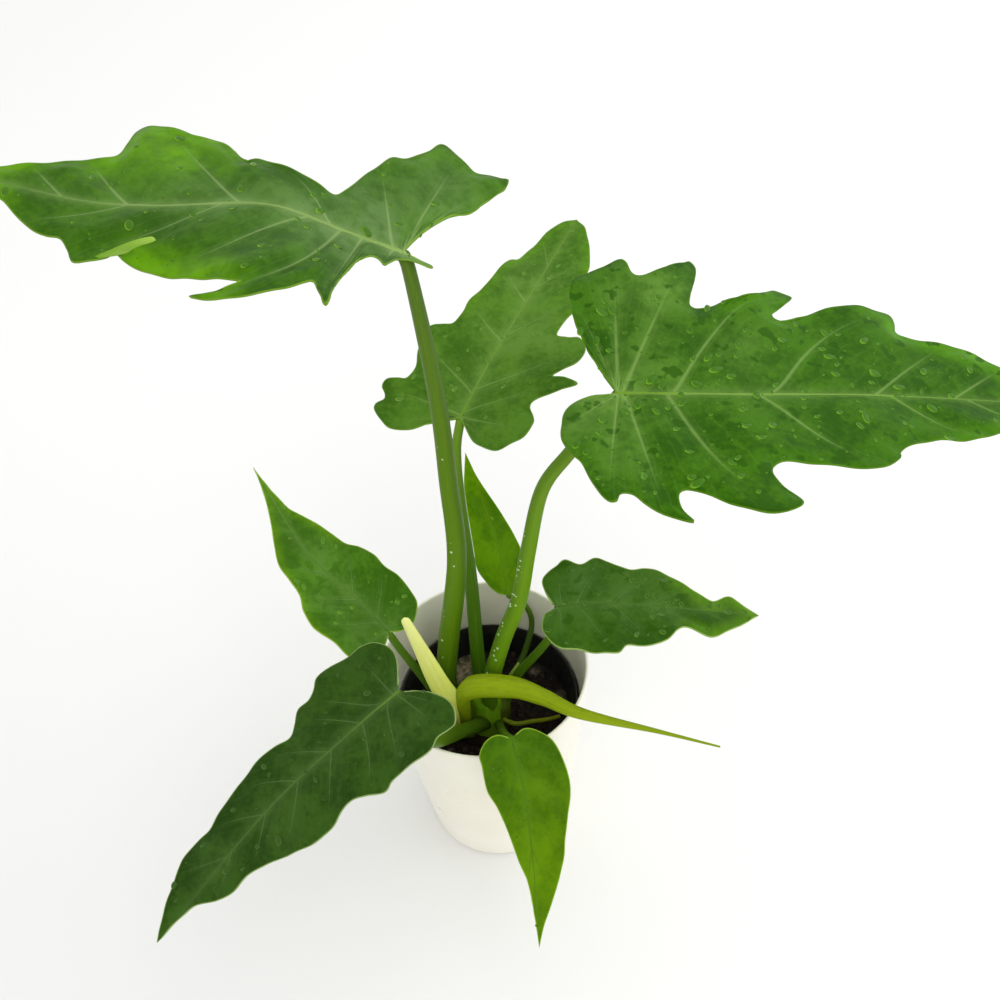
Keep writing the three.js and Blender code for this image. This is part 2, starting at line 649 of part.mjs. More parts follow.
plant.add(named('cataphyll', rooted(cataphyll, [rolledLeaf, fifth]), 0xd9dc9a, 0.45));
plant.add(named('rolled_leaf', rooted(rolledLeaf, [fifth]), GREEN.lime, 0.4));
plant.add(named('bud', rooted(bud, [seventh, eighth]), GREEN.lime, 0.4));
plant.add(named('aerial_root', rooted(aerialRoot, [sixth]), 0x8a7a3c, 0.6));

export default plant;
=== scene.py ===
import math
import random

import bmesh
import bpy
import numpy as np
from mathutils import Matrix, Vector, noise


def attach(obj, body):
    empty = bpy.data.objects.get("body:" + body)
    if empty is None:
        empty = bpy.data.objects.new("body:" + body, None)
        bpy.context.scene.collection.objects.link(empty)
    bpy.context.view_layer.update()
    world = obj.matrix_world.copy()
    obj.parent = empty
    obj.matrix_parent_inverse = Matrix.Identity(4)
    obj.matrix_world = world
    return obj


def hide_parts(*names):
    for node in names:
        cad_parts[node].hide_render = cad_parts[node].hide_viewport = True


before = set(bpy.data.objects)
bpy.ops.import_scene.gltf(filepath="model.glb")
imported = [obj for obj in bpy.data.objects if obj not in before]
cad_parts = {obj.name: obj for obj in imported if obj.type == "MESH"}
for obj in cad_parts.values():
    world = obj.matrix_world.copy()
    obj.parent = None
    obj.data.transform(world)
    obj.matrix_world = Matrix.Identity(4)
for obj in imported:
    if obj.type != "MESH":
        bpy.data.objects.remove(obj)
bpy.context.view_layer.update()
mm = 0.001
mergeGap = 1e-6  # points nearer than this, in metres, become one
fullTurn = 2 * math.pi
anySpin = (0, 6.28)  # for beads and crumbs, which may lie any way round
print("frame loaded:", len(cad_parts), "nodes")

# camera: looks down from the front, a little tilted
cameraView = {"place": (18, -440, 828), "down": 50.2, "tilt": -5.5, "lens": 50, "sensor": 36, "near": 0.05}

eye = bpy.data.cameras.new("photoView")
eye.lens = cameraView["lens"]
eye.sensor_width = cameraView["sensor"]
eye.clip_start = cameraView["near"]
camera = bpy.data.objects.new("photoView", eye)
camera.matrix_world = (
    Matrix.Translation(Vector(cameraView["place"]) * mm)
    @ Matrix.Rotation(math.radians(90 - cameraView["down"]), 4, "X")
    @ Matrix.Rotation(math.radians(cameraView["tilt"]), 4, "Z")
)
bpy.context.collection.objects.link(camera)
bpy.context.scene.camera = camera
bpy.context.scene.view_settings.view_transform = "Standard"


# numbers and curves
def paint(*screen):
    # a screen colour, three numbers up to 255, as the shader wants it
    straight = 11  # below this the screen's curve is a straight line
    shares = [(level < straight, level / 255) for level in screen]
    return (*(s / 12.92 if low else ((s + 0.055) / 1.055) ** 2.4 for low, s in shares), 1)


def smoothPath(points, samples=400):
    # a smooth line through the points, with the length run at each sample
    given = np.array(points, float)
    ends = np.vstack([2 * given[0] - given[1], given, 2 * given[-1] - given[-2]])
    t = np.linspace(0, len(given) - 1, samples)
    i = np.minimum(t.astype(int), len(given) - 2)
    w = (t - i)[:, None]
    a, b, c, d = ends[i], ends[i + 1], ends[i + 2], ends[i + 3]
    line = 0.5 * (2 * b + (c - a) * w + (2 * a - 5 * b + 4 * c - d) * w**2 + (3 * b - a - 3 * c + d) * w**3)
    run = np.concatenate([[0], np.cumsum(np.linalg.norm(np.diff(line, axis=0), axis=1))])
    return line, run


def along(line, run, where):
    return np.stack([np.interp(where, run, line[:, i]) for i in range(line.shape[1])], 1)


def unit(vectors):
    return vectors / np.maximum(np.linalg.norm(vectors, axis=1, keepdims=True), 1e-9)


def smoothStep(low, high, value):
    x = np.clip((value - low) / (high - low), 0, 1)
    return x * x * (3 - 2 * x)


# meshes
def floatLayers(mesh, *names):
    # made before any vertex, because a new layer drops the vertices held so far
    return [mesh.verts.layers.float.get(n) or mesh.verts.layers.float.new(n) for n in names]


def addSheet(mesh, columns, rows):
    # a grid, and where each of its vertices lies on it, from 0 to 1 both ways
    sheet = bmesh.ops.create_grid(mesh, x_segments=columns, y_segments=rows, size=1)["verts"]
    return sheet, np.array([v.co[:2] for v in sheet]) * 0.5 + 0.5


def moveVerts(sheet, spots, layers, marks):
    # each vertex goes to its spot and gets its marks
    for vert, spot, values in zip(sheet, spots, marks):
        vert.co = spot
        for layer, value in zip(layers, values):
            vert[layer] = value


def closeEnds(mesh, sheet):
    mine = {v for v in sheet if v.is_valid}
    rims = [e for e in mesh.edges if e.is_boundary and e.verts[0] in mine]
    bmesh.ops.holes_fill(mesh, edges=rims, sides=0)


def faceOut(mesh):
    bmesh.ops.recalc_face_normals(mesh, faces=mesh.faces[:])


def meshData(name, mesh):
    data = bpy.data.meshes.new(name)
    mesh.to_mesh(data)
    mesh.free()
    return data


def makePiece(name, mesh, materials, node=None, slotName=None):
    data = meshData(name, mesh)
    for material in materials:
        data.materials.append(material)
    for face in data.polygons:
        face.use_smooth = True
    piece = bpy.data.objects.new(name, data)
    bpy.context.collection.objects.link(piece)
    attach(piece, "root")
    if node:
        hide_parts(node)
    return piece


# shader building
def addNode(tree, kind, inputs=None, **settings):
    made = tree.nodes.new(kind)
    for key, value in settings.items():
        setattr(made, key, value)
    for key, value in (inputs or {}).items():
        socket = made.inputs[key]
        if isinstance(value, bpy.types.NodeSocket):
            tree.links.new(value, socket)
        else:
            socket.default_value = value
    return made


def calc(tree, operation, *values):
    return addNode(tree, "ShaderNodeMath", dict(enumerate(values)), operation=operation).outputs[0]


def times(tree, first, second):
    return calc(tree, "MULTIPLY", first, second)


def plus(tree, first, second):
    return calc(tree, "ADD", first, second)


def fromWhole(tree, value):
    # how far a value is from the nearest whole number
    return calc(tree, "ABSOLUTE", calc(tree, "SUBTRACT", value, calc(tree, "ROUND", value)))


def stretch(tree, value, low, high, fromLow=0.0, fromHigh=1.0, kind="SMOOTHSTEP"):
    values = {"Value": value, "From Min": fromLow, "From Max": fromHigh, "To Min": low, "To Max": high}
    return addNode(tree, "ShaderNodeMapRange", values, interpolation_type=kind).outputs[0]


def blendColour(tree, factor, first, second):
    made = addNode(tree, "ShaderNodeMix", data_type="RGBA", clamp_factor=True)
    for index, value in ((0, factor), (6, first), (7, second)):  # the colour mix's own sockets
        if isinstance(value, bpy.types.NodeSocket):
            tree.links.new(value, made.inputs[index])
        else:
            made.inputs[index].default_value = value
    return made.outputs[2]


def cloud(tree, vector, scale, detail=3.0, roughness=0.55):
    values = {"Vector": vector, "Scale": scale, "Detail": detail, "Roughness": roughness}
    return addNode(tree, "ShaderNodeTexNoise", values).outputs["Fac"]


def combine(tree, x, y, z):
    return addNode(tree, "ShaderNodeCombineXYZ", {"X": x, "Y": y, "Z": z}).outputs[0]


def objectPlace(tree):
    return addNode(tree, "ShaderNodeTexCoord").outputs["Object"]


def attribute(tree, name):
    return addNode(tree, "ShaderNodeAttribute", attribute_name=name).outputs["Fac"]


def bumpFrom(tree, height, strength, distance, shader):
    made = addNode(tree, "ShaderNodeBump", {"Height": height, "Strength": strength, "Distance": distance})
    tree.links.new(made.outputs["Normal"], shader.inputs["Normal"])


def newMaterial(name, roughness=0.5, coat=0.0, coatRoughness=0.1, specular=0.5):
    material = bpy.data.materials.new(name)
    material.use_nodes = True
    shader = material.node_tree.nodes["Principled BSDF"]
    shader.inputs["Roughness"].default_value = roughness
    shader.inputs["Coat Weight"].default_value = coat
    shader.inputs["Coat Roughness"].default_value = coatRoughness
    shader.inputs["Specular IOR Level"].default_value = specular
    return material, material.node_tree, shader


def newGroup(name, inputs):
    # a shared effect: what it takes, by kind, and always a colour, a roughness and a height out
    tree = bpy.data.node_groups.new(name, "ShaderNodeTree")
    for kind, titles in inputs.items():
        for title in titles:
            tree.interface.new_socket(title, in_out="INPUT", socket_type="NodeSocket" + kind)
    for title, kind in (("Color", "Color"), ("Roughness", "Float"), ("Height", "Float")):
        tree.interface.new_socket(title, in_out="OUTPUT", socket_type="NodeSocket" + kind)
    return tree, tree.nodes.new("NodeGroupInput").outputs, tree.nodes.new("NodeGroupOutput").inputs


# leaf tissue: veins that follow the blade, mottling, a pale edge and a painted sheen, a grey-green that
# stands in for light reflected off the blade
tissue = {
    # how fine each pattern is
    "broad": 26.0, "patchy": 75.0, "mottle": 300.0, "speck": 1500.0, "wet": 130.0,
    # side veins between two main ones, and how much each effect shows in colour, dullness and relief
    "sideVeins": 5.0, "haloShare": 0.16, "sideShare": 0.14, "dull": 0.16,
    "veinDip": -0.5, "patchRise": 0.9, "mottleRise": 0.3, "speckRise": 0.08,
}
leafTissue, taken, given = newGroup("leafTissue", {
    "Float": (
        "Phase", "Space", "Reach", "Rim", "Spine",
        "Fresh Share", "Painted Sheen Share", "Vein Share", "Vein Width", "Wet",
    ),
    "Vector": ("Place",),
    "Color": ("Deep", "Mid", "Fresh", "Bloom", "Vein", "Edge"),
})
g = leafTissue
broad = cloud(g, taken["Place"], tissue["broad"])
patchy = cloud(g, taken["Place"], tissue["patchy"], roughness=0.6)
mottle = cloud(g, taken["Place"], tissue["mottle"], 4.0, 0.65)
speck = cloud(g, taken["Place"], tissue["speck"], 2.0)
# main veins: one where the phase is a whole number, thinner and fainter towards the margin
fromVein = times(g, fromWhole(g, taken["Phase"]), taken["Space"])
veinWidth = times(g, stretch(g, taken["Reach"], 1.0, 0.22, kind="LINEAR"), taken["Vein Width"])
veinMask = stretch(g, calc(g, "DIVIDE", fromVein, veinWidth), 1.0, 0.0, 0.1, 1.8)
veinMask = times(g, veinMask, stretch(g, taken["Reach"], 1.0, 0.0, 0.3, 0.97))
halo = times(g, stretch(g, fromVein, 1.0, 0.0, 0.3, 5.0), stretch(g, taken["Reach"], 1.0, 0.0, 0.45, 1.0))
# side veins, where there is room between two main ones
sidePhase = plus(g, times(g, taken["Phase"], tissue["sideVeins"]), times(g, patchy, 1.2))
fromSide = times(g, calc(g, "DIVIDE", fromWhole(g, sidePhase), tissue["sideVeins"]), taken["Space"])
sideMask = times(g, stretch(g, fromSide, 1.0, 0.0, 0.0, 0.7), stretch(g, taken["Space"], 0.0, 1.0, 8.0, 18.0))
# green, from the ground colour up
tone = plus(g, plus(g, times(g, broad, 0.5), times(g, patchy, 0.3)), times(g, mottle, 0.2))
freshMask = times(g, taken["Fresh Share"], stretch(g, patchy, 0.6, 1.0, 0.35, 0.65))
# painted sheen: grey-green patches that stand in for light reflected off the blade
paintedSheenMask = times(g, taken["Painted Sheen Share"], stretch(g, patchy, 0.45, 1.0, 0.38, 0.62))
wetMarks = cloud(g, taken["Place"], tissue["wet"], 2.0, 0.4)
wetMask = times(g, stretch(g, wetMarks, 0.0, 1.0, 0.6, 0.66), taken["Wet"])
body = blendColour(g, stretch(g, tone, 0.0, 1.0, 0.4, 0.6), taken["Deep"], taken["Mid"])
for mask, title in (
    (freshMask, "Fresh"),
    # the painted sheen, and in its grey-green the pale band beside the main veins and the side veins
    (plus(g, paintedSheenMask, times(g, halo, tissue["haloShare"])), "Bloom"),
    (times(g, sideMask, tissue["sideShare"]), "Bloom"),
    (wetMask, "Deep"),
    (times(g, veinMask, taken["Vein Share"]), "Vein"),
    (taken["Spine"], "Vein"),
    (stretch(g, taken["Rim"], 0.8, 0.0, 0.1, 0.75), "Edge"),
):
    body = blendColour(g, mask, body, taken[title])
g.links.new(body, given["Color"])
g.links.new(times(g, plus(g, mottle, taken["Painted Sheen Share"]), tissue["dull"]), given["Roughness"])
relief = times(g, veinMask, tissue["veinDip"])
for pattern, title in ((patchy, "patchRise"), (mottle, "mottleRise"), (speck, "speckRise")):
    relief = plus(g, relief, times(g, pattern, tissue[title]))
g.links.new(relief, given["Height"])

# stalk tissue: fine lines along the stalk, a change of colour from foot to top, and painted shade that
# darkens one side towards the foot colour
strands = {"round": 6.0, "along": 0.5, "lines": 1.6, "patches": 2.2}
stalkTissue, taken, given = newGroup("stalkTissue", {
    "Float": ("Along", "Turn X", "Turn Y", "Length", "Shade"),
    "Color": ("Foot", "Middle", "Top", "Streak"),
})
g = stalkTissue
run = times(g, taken["Along"], taken["Length"])
roundX, roundY = (times(g, taken[title], strands["round"]) for title in ("Turn X", "Turn Y"))
drawnOut = combine(g, roundX, roundY, times(g, run, strands["along"]))
lines = cloud(g, drawnOut, strands["lines"], roughness=0.6)
patches = cloud(g, combine(g, taken["Turn X"], taken["Turn Y"], run), strands["patches"])
body = blendColour(g, stretch(g, taken["Along"], 0.0, 1.0, 0.0, 0.22), taken["Foot"], taken["Middle"])
for mask, title in (
    (stretch(g, taken["Along"], 0.0, 1.0, 0.45, 1.0), "Top"),
    (stretch(g, lines, 0.0, 0.55, 0.45, 0.72), "Streak"),
    (stretch(g, patches, 0.0, 0.3, 0.5, 0.75), "Streak"),
    # painted shade: the side that Shade picks is darkened towards the foot colour
    (stretch(g, times(g, taken["Turn X"], taken["Shade"]), 0.0, 0.55), "Foot"),
):
    body = blendColour(g, mask, body, taken[title])
g.links.new(body, given["Color"])
g.links.new(times(g, patches, 0.25), given["Roughness"])
g.links.new(plus(g, times(g, lines, 0.6), times(g, patches, 0.4)), given["Height"])

bladeMarks = {
    "Phase": "phase", "Space": "space", "Reach": "reach", "Rim": "rim", "Spine": "spine",
    "Fresh Share": "fresh", "Painted Sheen Share": "bloom",
}
# one of the colours is the grey-green of the painted sheen
upperColours = {title: title.lower() for title in ("Deep", "Mid", "Fresh", "Bloom", "Vein", "Edge")}
underColours = {
    **upperColours, "Deep": "underDeep", "Mid": "underMid", "Bloom": "underMid", "Vein": "underVein",
}
stalkMarks = {"Along": "lengthwise", "Turn X": "turnX", "Turn Y": "turnY"}
stalkColours = {title: title.lower() for title in ("Foot", "Middle", "Top", "Streak")}
# gloss, and the strength and depth of the relief
leafSkin = {"tissue": leafTissue, "marks": bladeMarks, "gloss": 0.05, "relief": 0.6, "depth": 0.0012}
stalkSkin = {"tissue": stalkTissue, "marks": stalkMarks, "gloss": 0.1, "relief": 0.35, "depth": 0.0006}


def wearTissue(name, skin, colours, look):
    # a material round one of the two tissues, with the piece's marks and the look's colours put in
    material, tree, shader = newMaterial(name, specular=look.get("gloss", skin["gloss"]))
    group = addNode(tree, "ShaderNodeGroup", node_tree=skin["tissue"])
    for title, source in skin["marks"].items():
        tree.links.new(attribute(tree, source), group.inputs[title])
    for title, key in colours.items():
        group.inputs[title].default_value = paint(*look[key])
    tree.links.new(group.outputs["Color"], shader.inputs["Base Color"])
    tree.links.new(plus(tree, group.outputs["Roughness"], look.get("rough", 0.3)), shader.inputs["Roughness"])
    bumpFrom(tree, group.outputs["Height"], skin["relief"], skin["depth"], shader)
    return material, tree, group.inputs


def leafMaterial(name, look, under=False):
    # what is sunk on the upper side is raised on the underside
    skin = {**leafSkin, "depth": -leafSkin["depth"]} if under else leafSkin
    material, tree, inputs = wearTissue(name, skin, underColours if under else upperColours, look)
    tree.links.new(objectPlace(tree), inputs["Place"])
    for title, key in (("Vein Share", "veinShare"), ("Vein Width", "veinWidth"), ("Wet", "wet")):
        inputs[title].default_value = look.get(key, 0)
    return material


def stalkMaterial(name, look):
    material, tree, inputs = wearTissue(name, stalkSkin, stalkColours, look)
    inputs["Length"].default_value = look["length"]
    inputs["Shade"].default_value = look.get("shade", 0)
    return material


# stalks
stalkForm = {"grooveAt": 0.25, "grooveWide": 0.06, "ribCount": 9, "ribTwist": 2, "least": 0.0004}


def growStalk(mesh, values):
    # a sheet is rolled round the route; its two ends are closed
    layers = floatLayers(mesh, "lengthwise", "turnX", "turnY")
    line, run = smoothPath(values["route"], 500)
    sheet, where = addSheet(mesh, values.get("steps", 70), values.get("sides", 28))
    share, turn = where[:, 0], where[:, 1]
    direction = unit(np.gradient(line, run, axis=0))
    centre = along(line, run, share * run[-1])
    ahead = unit(along(direction, run, share * run[-1]))
    side = np.array(values.get("side", (1, 0, 0)), float)
    across = unit(side - ahead * (ahead @ side)[:, None])
    outward = np.cross(ahead, across)
    thick = smoothPath([(i / (len(values["radii"]) - 1), r) for i, r in enumerate(values["radii"])], 300)[0]
    radius = np.interp(share, thick[:, 0], thick[:, 1])
    for end, tip in ((values.get("roundFoot", 0), share), (values.get("roundTop", 0), 1 - share)):
        if end:
            inside = np.clip(tip * run[-1] / end, 0, 1)
            radius = radius * np.sqrt(np.maximum(1 - (1 - inside) ** 2, stalkForm["least"]))
    angle = fullTurn * turn
    spiral = 1 + values.get("spiral", 0) * (turn - 0.5)  # a rolled leaf's outer edge stands proud
    dip = np.exp(-(((turn - stalkForm["grooveAt"]) / stalkForm["grooveWide"]) ** 2))
    ribs = 1 + values.get("ribs", 0) * np.cos(angle * stalkForm["ribCount"] + share * stalkForm["ribTwist"])
    size = radius * spiral * (1 - values.get("groove", 0) * dip) * ribs
    wide, deep = size * np.cos(angle), size * np.sin(angle) * values.get("flat", 1)
    spots = centre + across * wide[:, None] + outward * deep[:, None]
    moveVerts(sheet, spots * mm, layers, np.stack([share, np.cos(angle), np.sin(angle)], 1))
    if values.get("spiral"):
        # the proud edge is stitched to the layer under it
        order = {tuple(np.round(w, 5)): v for w, v in zip(where, sheet)}
        steps = sorted({round(w, 5) for w in share})
        for first, second in zip(steps, steps[1:]):
            corners = [order[corner] for corner in ((first, 0.0), (second, 0.0), (second, 1.0), (first, 1.0))]
            bmesh.ops.contextual_create(mesh, geom=corners)
    else:
        bmesh.ops.remove_doubles(mesh, verts=sheet, dist=mergeGap)
    closeEnds(mesh, sheet)


# blades: u runs along the midrib and v across it, both in mm
bladeForm = {
    # how far from the midrib the fold is still round, the share of the length over which it opens
    "crease": 3, "opening": 0.6,
    # the right half's ripple lags, and no ripple grows past this many times its height
    "lag": 2, "most": 1.5,
    # swelling between veins: how far from margin and midrib it starts, the room that gives it full height
    "fromRim": 9, "fromRib": 7, "fullGap": 16, "mostSwell": 1.3,
    # the margin's flutter: its wave and how far in it reaches
    "flutterWave": 17, "flutterDeep": 8,
    # the pale line along the midrib: how wide, how strong behind the stalk, at the stalk, and lost by the tip
    "spineWide": 2, "spineBack": 0.9, "spineFoot": 0.45, "spineLoss": 0.25,
}


def bladeSurface(leaf):
    line, run = smoothPath(leaf["rib"], 500)
    length = run[-1]
    direction = unit(np.gradient(line, run, axis=0))
    roll = math.radians(leaf["roll"])
    crease = bladeForm["crease"]

    def place(u, v, lift=0.0):
        near = np.clip(u, 0, length)
        ahead = unit(along(direction, run, near))
        level = unit(np.cross([0, 0, 1], ahead))
        rise = np.cross(ahead, level)
        across = level * math.cos(roll) + rise * math.sin(roll)
        normal = rise * math.cos(roll) - level * math.sin(roll)
        opened = smoothStep(0, bladeForm["opening"], near / length)
        folds = [first + (last - first) * opened for first, last in (leaf["foldLeft"], leaf["foldRight"])]
        fold = np.radians(np.where(v > 0, *folds))
        height, wave, reach = leaf["ripple"]
        swing = np.sin(fullTurn * u / wave + np.where(v > 0, 0, bladeForm["lag"]))
        swing = swing * np.minimum((v / reach) ** 2, bladeForm["most"])
        up = (np.sqrt(v * v + crease**2) - crease) * np.sin(fold) - leaf["curl"] * v * v / 1000
        up = up + height * swing + lift
        spot = along(line, run, near) + ahead * (u - near)[:, None]
        return spot + across * (v * np.cos(fold))[:, None] + normal * up[:, None]

    def facing(u, v):
        du = place(u + 0.5, v) - place(u - 0.5, v)
        dv = place(u, v + 0.5) - place(u, v - 0.5)
        return unit(np.cross(du, dv))

    return place, facing, length


def evenNet(net, sweeps=160, step=0.8):
    # inner points settle where the lines of the net run evenly and don't cross; the outer ring stays
    for _ in range(sweeps):
        back, ahead, below, above = net[1:-1, :-2], net[1:-1, 2:], net[:-2, 1:-1], net[2:, 1:-1]
        across, outward = (ahead - back) / 2, (above - below) / 2
        steep = (outward**2).sum(2, keepdims=True)
        level = (across**2).sum(2, keepdims=True)
        skew = (across * outward).sum(2, keepdims=True)
        twist = (net[2:, 2:] - net[2:, :-2] - net[:-2, 2:] + net[:-2, :-2]) / 4
        even = steep * (ahead + back) + level * (above + below) - 2 * skew * twist
        even = even / (2 * (steep + level) + 1e-9)
        net[1:-1, 1:-1] += step * (even - net[1:-1, 1:-1])
    return net


def halfNet(leaf, side, length):
    # one half of the blade laid flat: a net of lines that run from the midrib to the margin, as the veins do
    # a vein or guide is where it ends at the margin, its foot on the midrib and, unless even, how it bends
    hand = "Left" if side > 0 else "Right"
    edge, run = smoothPath([*leaf[hand.lower()], (length, 0)], samples=3000)
    share = run / run[-1]
    evenBend = (0.5, 0.5)
    window = 81  # samples of the margin over which feet and bends are evened out

    def reached(line):
        return share[np.argmin(((edge - np.array(line[:2])) ** 2).sum(1))]

    veins, guides = leaf["veins" + hand], leaf["guides" + hand]
    lines = sorted((reached(line), line[2], *(line[3:] or evenBend)) for line in veins + guides)
    places = [0, *(line[0] for line in lines), 1]
    columns, rows = int(run[-1] / leaf["grain"]), leaf["rows"]
    s, t = np.meshgrid(np.linspace(0, 1, columns + 1), np.linspace(0, 1, rows + 1))
    shape = []
    for index, first, last in ((1, 0, length), (2, *evenBend), (3, *evenBend)):
        values = np.interp(share, places, [first, *(line[index] for line in lines), last])
        values = np.convolve(np.pad(values, window // 2, mode="edge"), np.ones(window) / window, "valid")
        values[-1] = last
        shape.append(np.interp(s, share, values))
    foot, bendU, bendV = shape
    u, v = np.interp(s, share, edge[:, 0]), np.interp(s, share, edge[:, 1])
    a, b = 2 * t * (1 - t), t * t
    net = evenNet(np.stack([foot + (a * bendU + b) * (u - foot), side * (a * bendV + b) * v], 2))
    stops = sorted(reached(line) for line in veins)
    turn = np.interp(s[0], [0, *stops, 1], [0.5, *range(1, len(stops) + 1), len(stops) + 0.5])
    return net, turn, edge * (1, side)


def addHalf(mesh, leaf, side, place, length):
    # adds one half and returns its points in space, row by row from the midrib to the margin
    net, turn, edge = halfNet(leaf, side, length)
    rows, columns = net.shape[0] - 1, net.shape[1] - 1
    u, v = net[..., 0], net[..., 1]
    turns = np.broadcast_to(turn, u.shape)
    rim = [np.hypot(row[:, None, 0] - edge[::2, 0], row[:, None, 1] - edge[::2, 1]).min(1) for row in net]
    rim = np.array(rim)
    gap = np.linalg.norm(np.gradient(net, axis=1), axis=2) / np.gradient(turn)
    inner = smoothStep(0, bladeForm["fromRim"], rim) * smoothStep(0, bladeForm["fromRib"], np.abs(v))
    room = np.clip(gap / bladeForm["fullGap"], 0, bladeForm["mostSwell"])
    swell = (0.5 - 0.5 * np.cos(fullTurn * turns)) * inner * room
    wave = np.sin(fullTurn * np.arange(columns + 1) * leaf["grain"] / bladeForm["flutterWave"] + side)
    flutter = leaf["flutter"] * wave * (1 - smoothStep(0, bladeForm["flutterDeep"], rim))
    spots = place(u.ravel(), v.ravel(), (leaf["quilt"] * swell + flutter).ravel()).reshape(*u.shape, 3)
    reach = np.broadcast_to(np.linspace(0, 1, rows + 1)[:, None], u.shape)
    fading = bladeForm["spineFoot"] - bladeForm["spineLoss"] * u / length
    spine = np.exp(-np.abs(v) / bladeForm["spineWide"]) * np.where(u < 0, bladeForm["spineBack"], fading)
    # the yellow-green share, and where the blade gets painted sheen
    fresh, bloom = leafFresh(leaf, u, v, rim, length), leafPaintedSheen(leaf, u, v, length)
    marks = np.stack([turns, gap, reach, u / length, fresh, bloom, rim, spine], 2)

    layers = floatLayers(mesh, "phase", "space", "reach", "lengthwise", "fresh", "bloom", "rim", "spine")
    sheet, where = addSheet(mesh, columns, rows)
    column, row = np.rint(where[:, 0] * columns).astype(int), np.rint(where[:, 1] * rows).astype(int)
    moveVerts(sheet, spots[row, column] * mm, layers, marks[row, column])
    if side < 0:
        mine = set(sheet)
        bmesh.ops.reverse_faces(mesh, faces=[f for f in mesh.faces if f.verts[0] in mine])
    bmesh.ops.remove_doubles(mesh, verts=sheet, dist=2 * mergeGap)
    return spots


def spotField(spots, u, v):
    # soft round patches: (u, v, size, strength)
    field = np.zeros_like(u)
    for x, y, size, strength in spots:
        field = field + strength * np.exp(-(((u - x) / size) ** 2) - ((v - y) / size) ** 2)
    return field


def leafFresh(leaf, u, v, rim, length):
    # where the blade is still yellow-green: near some margins, in soft patches and at the tip
    # a fresh edge is (side, from u, to u, strength, how far in)
    soft = 12
    fresh = spotField(leaf.get("freshSpots", []), u, v)
    for side, low, high, strength, deep in leaf.get("freshEdges", []):
        inside = smoothStep(low - soft, low + soft, u) * (1 - smoothStep(high - soft, high + soft, u))
        inside = inside * (v * side > 0) * (1 - smoothStep(0.1 * deep, deep, rim))
        fresh = np.maximum(fresh, strength * inside)
    return np.clip(np.maximum(fresh, leaf["freshTip"] * smoothStep(0.86, 1.0, u / length)), 0, 1)


def leafPaintedSheen(leaf, u, v, length):
    # painted sheen: a dull grey-green along the midrib and in patches, standing in for light reflected off
    # the blade
    alongRib = np.exp(-np.abs(v) / 11) * (1 - smoothStep(0.2, 0.95, u / length)) * leaf["paintedSheenRib"]
    return np.clip(alongRib + spotField(leaf.get("paintedSheenSpots", []), u, v), 0, 1)


midrib = {
    # it starts before the stalk's top and ends short of the tip; it is low above the blade and sunk below it
    "steps": 120, "sides": 16, "before": 1.5, "short": 0.5, "top": 0.2, "clear": 0.03, "sunk": 0.2,
    # it grows thin towards the tip, and its last part is flattened
    "thin": 0.78, "bend": 0.75, "round": 16, "least": 0.002, "flatFrom": 0.15,
}


def addMidrib(mesh, leaf, place, facing, length):
    layers = floatLayers(mesh, "lengthwise", "turnX", "turnY")
    sheet, where = addSheet(mesh, midrib["steps"], midrib["sides"])
    share, angle = where[:, 0], fullTurn * where[:, 1]
    u = share * (length + midrib["before"] - midrib["short"]) - midrib["before"]
    still = np.zeros_like(u)
    centre, up = place(u, still), facing(u, still)
    ahead = unit(place(u + 0.5, still) - place(u - 0.5, still))
    across = np.cross(up, ahead)
    tip = np.sqrt(np.maximum(1 - share ** midrib["round"], midrib["least"]))
    taper = (1 - midrib["thin"] * share ** midrib["bend"]) * tip
    above = midrib["top"] * taper + leaf["thickness"] / 2 + midrib["clear"]
    below = leaf["midribDepth"] * taper + midrib["sunk"]
    deep = np.where(np.sin(angle) > 0, above, below) * np.clip(taper / midrib["flatFrom"], 0, 1)
    wide = np.cos(angle) * leaf["midribWidth"] * taper
    spots = centre + across * wide[:, None] + up * (np.sin(angle) * deep)[:, None]
    moveVerts(sheet, spots * mm, layers, np.stack([share, np.cos(angle), np.sin(angle)], 1))
    bmesh.ops.remove_doubles(mesh, verts=sheet, dist=mergeGap)
    closeEnds(mesh, sheet)


def addFlap(name, leaf, place, facing):
    # a torn strip of the margin, curled over to show its pale side
    path = [(np.array([u]), np.array([v]), up) for u, v, up in leaf["flap"]["path"]]
    route = [place(u, v)[0] + facing(u, v)[0] * up for u, v, up in path]
    mesh = bmesh.new()
    growStalk(mesh, {**leaf["flap"]["form"], "route": route})
    faceOut(mesh)
    look = {**leaf["flap"]["look"], "foot": leaf["look"]["fresh"]}
    makePiece(name + "_flap", mesh, [stalkMaterial(name + "Flap", look)], slotName=name)


def makeBlade(name, leaf):
    place, facing, length = bladeSurface(leaf)
    look = leaf["look"]
    mesh = bmesh.new()
    halves = [addHalf(mesh, leaf, side, place, length) for side in (1, -1)]
    skins = [leafMaterial(name + part, look, part == "Under") for part in ("Upper", "Under", "Edge")]
    blade = makePiece(name + "_blade_fine", mesh, skins, name + "_blade", name)
    wall = blade.modifiers.new("thickness", "SOLIDIFY")
    wall.thickness = leaf["thickness"] * mm
    wall.offset = 0
    wall.material_offset = 1  # the underside
    wall.material_offset_rim = 2  # the edge
    ribMesh = bmesh.new()
    addMidrib(ribMesh, leaf, place, facing, length)
    faceOut(ribMesh)
    ribLook = {
        "length": length / 20, "foot": look["ribFoot"], "middle": look["ribMid"], "top": look["ribTip"],
        "streak": look["mid"],
    }
    makePiece(name + "_midrib", ribMesh, [stalkMaterial(name + "Midrib", ribLook)], slotName=name)
    if "flap" in leaf:
        addFlap(name, leaf, place, facing)
    return halves


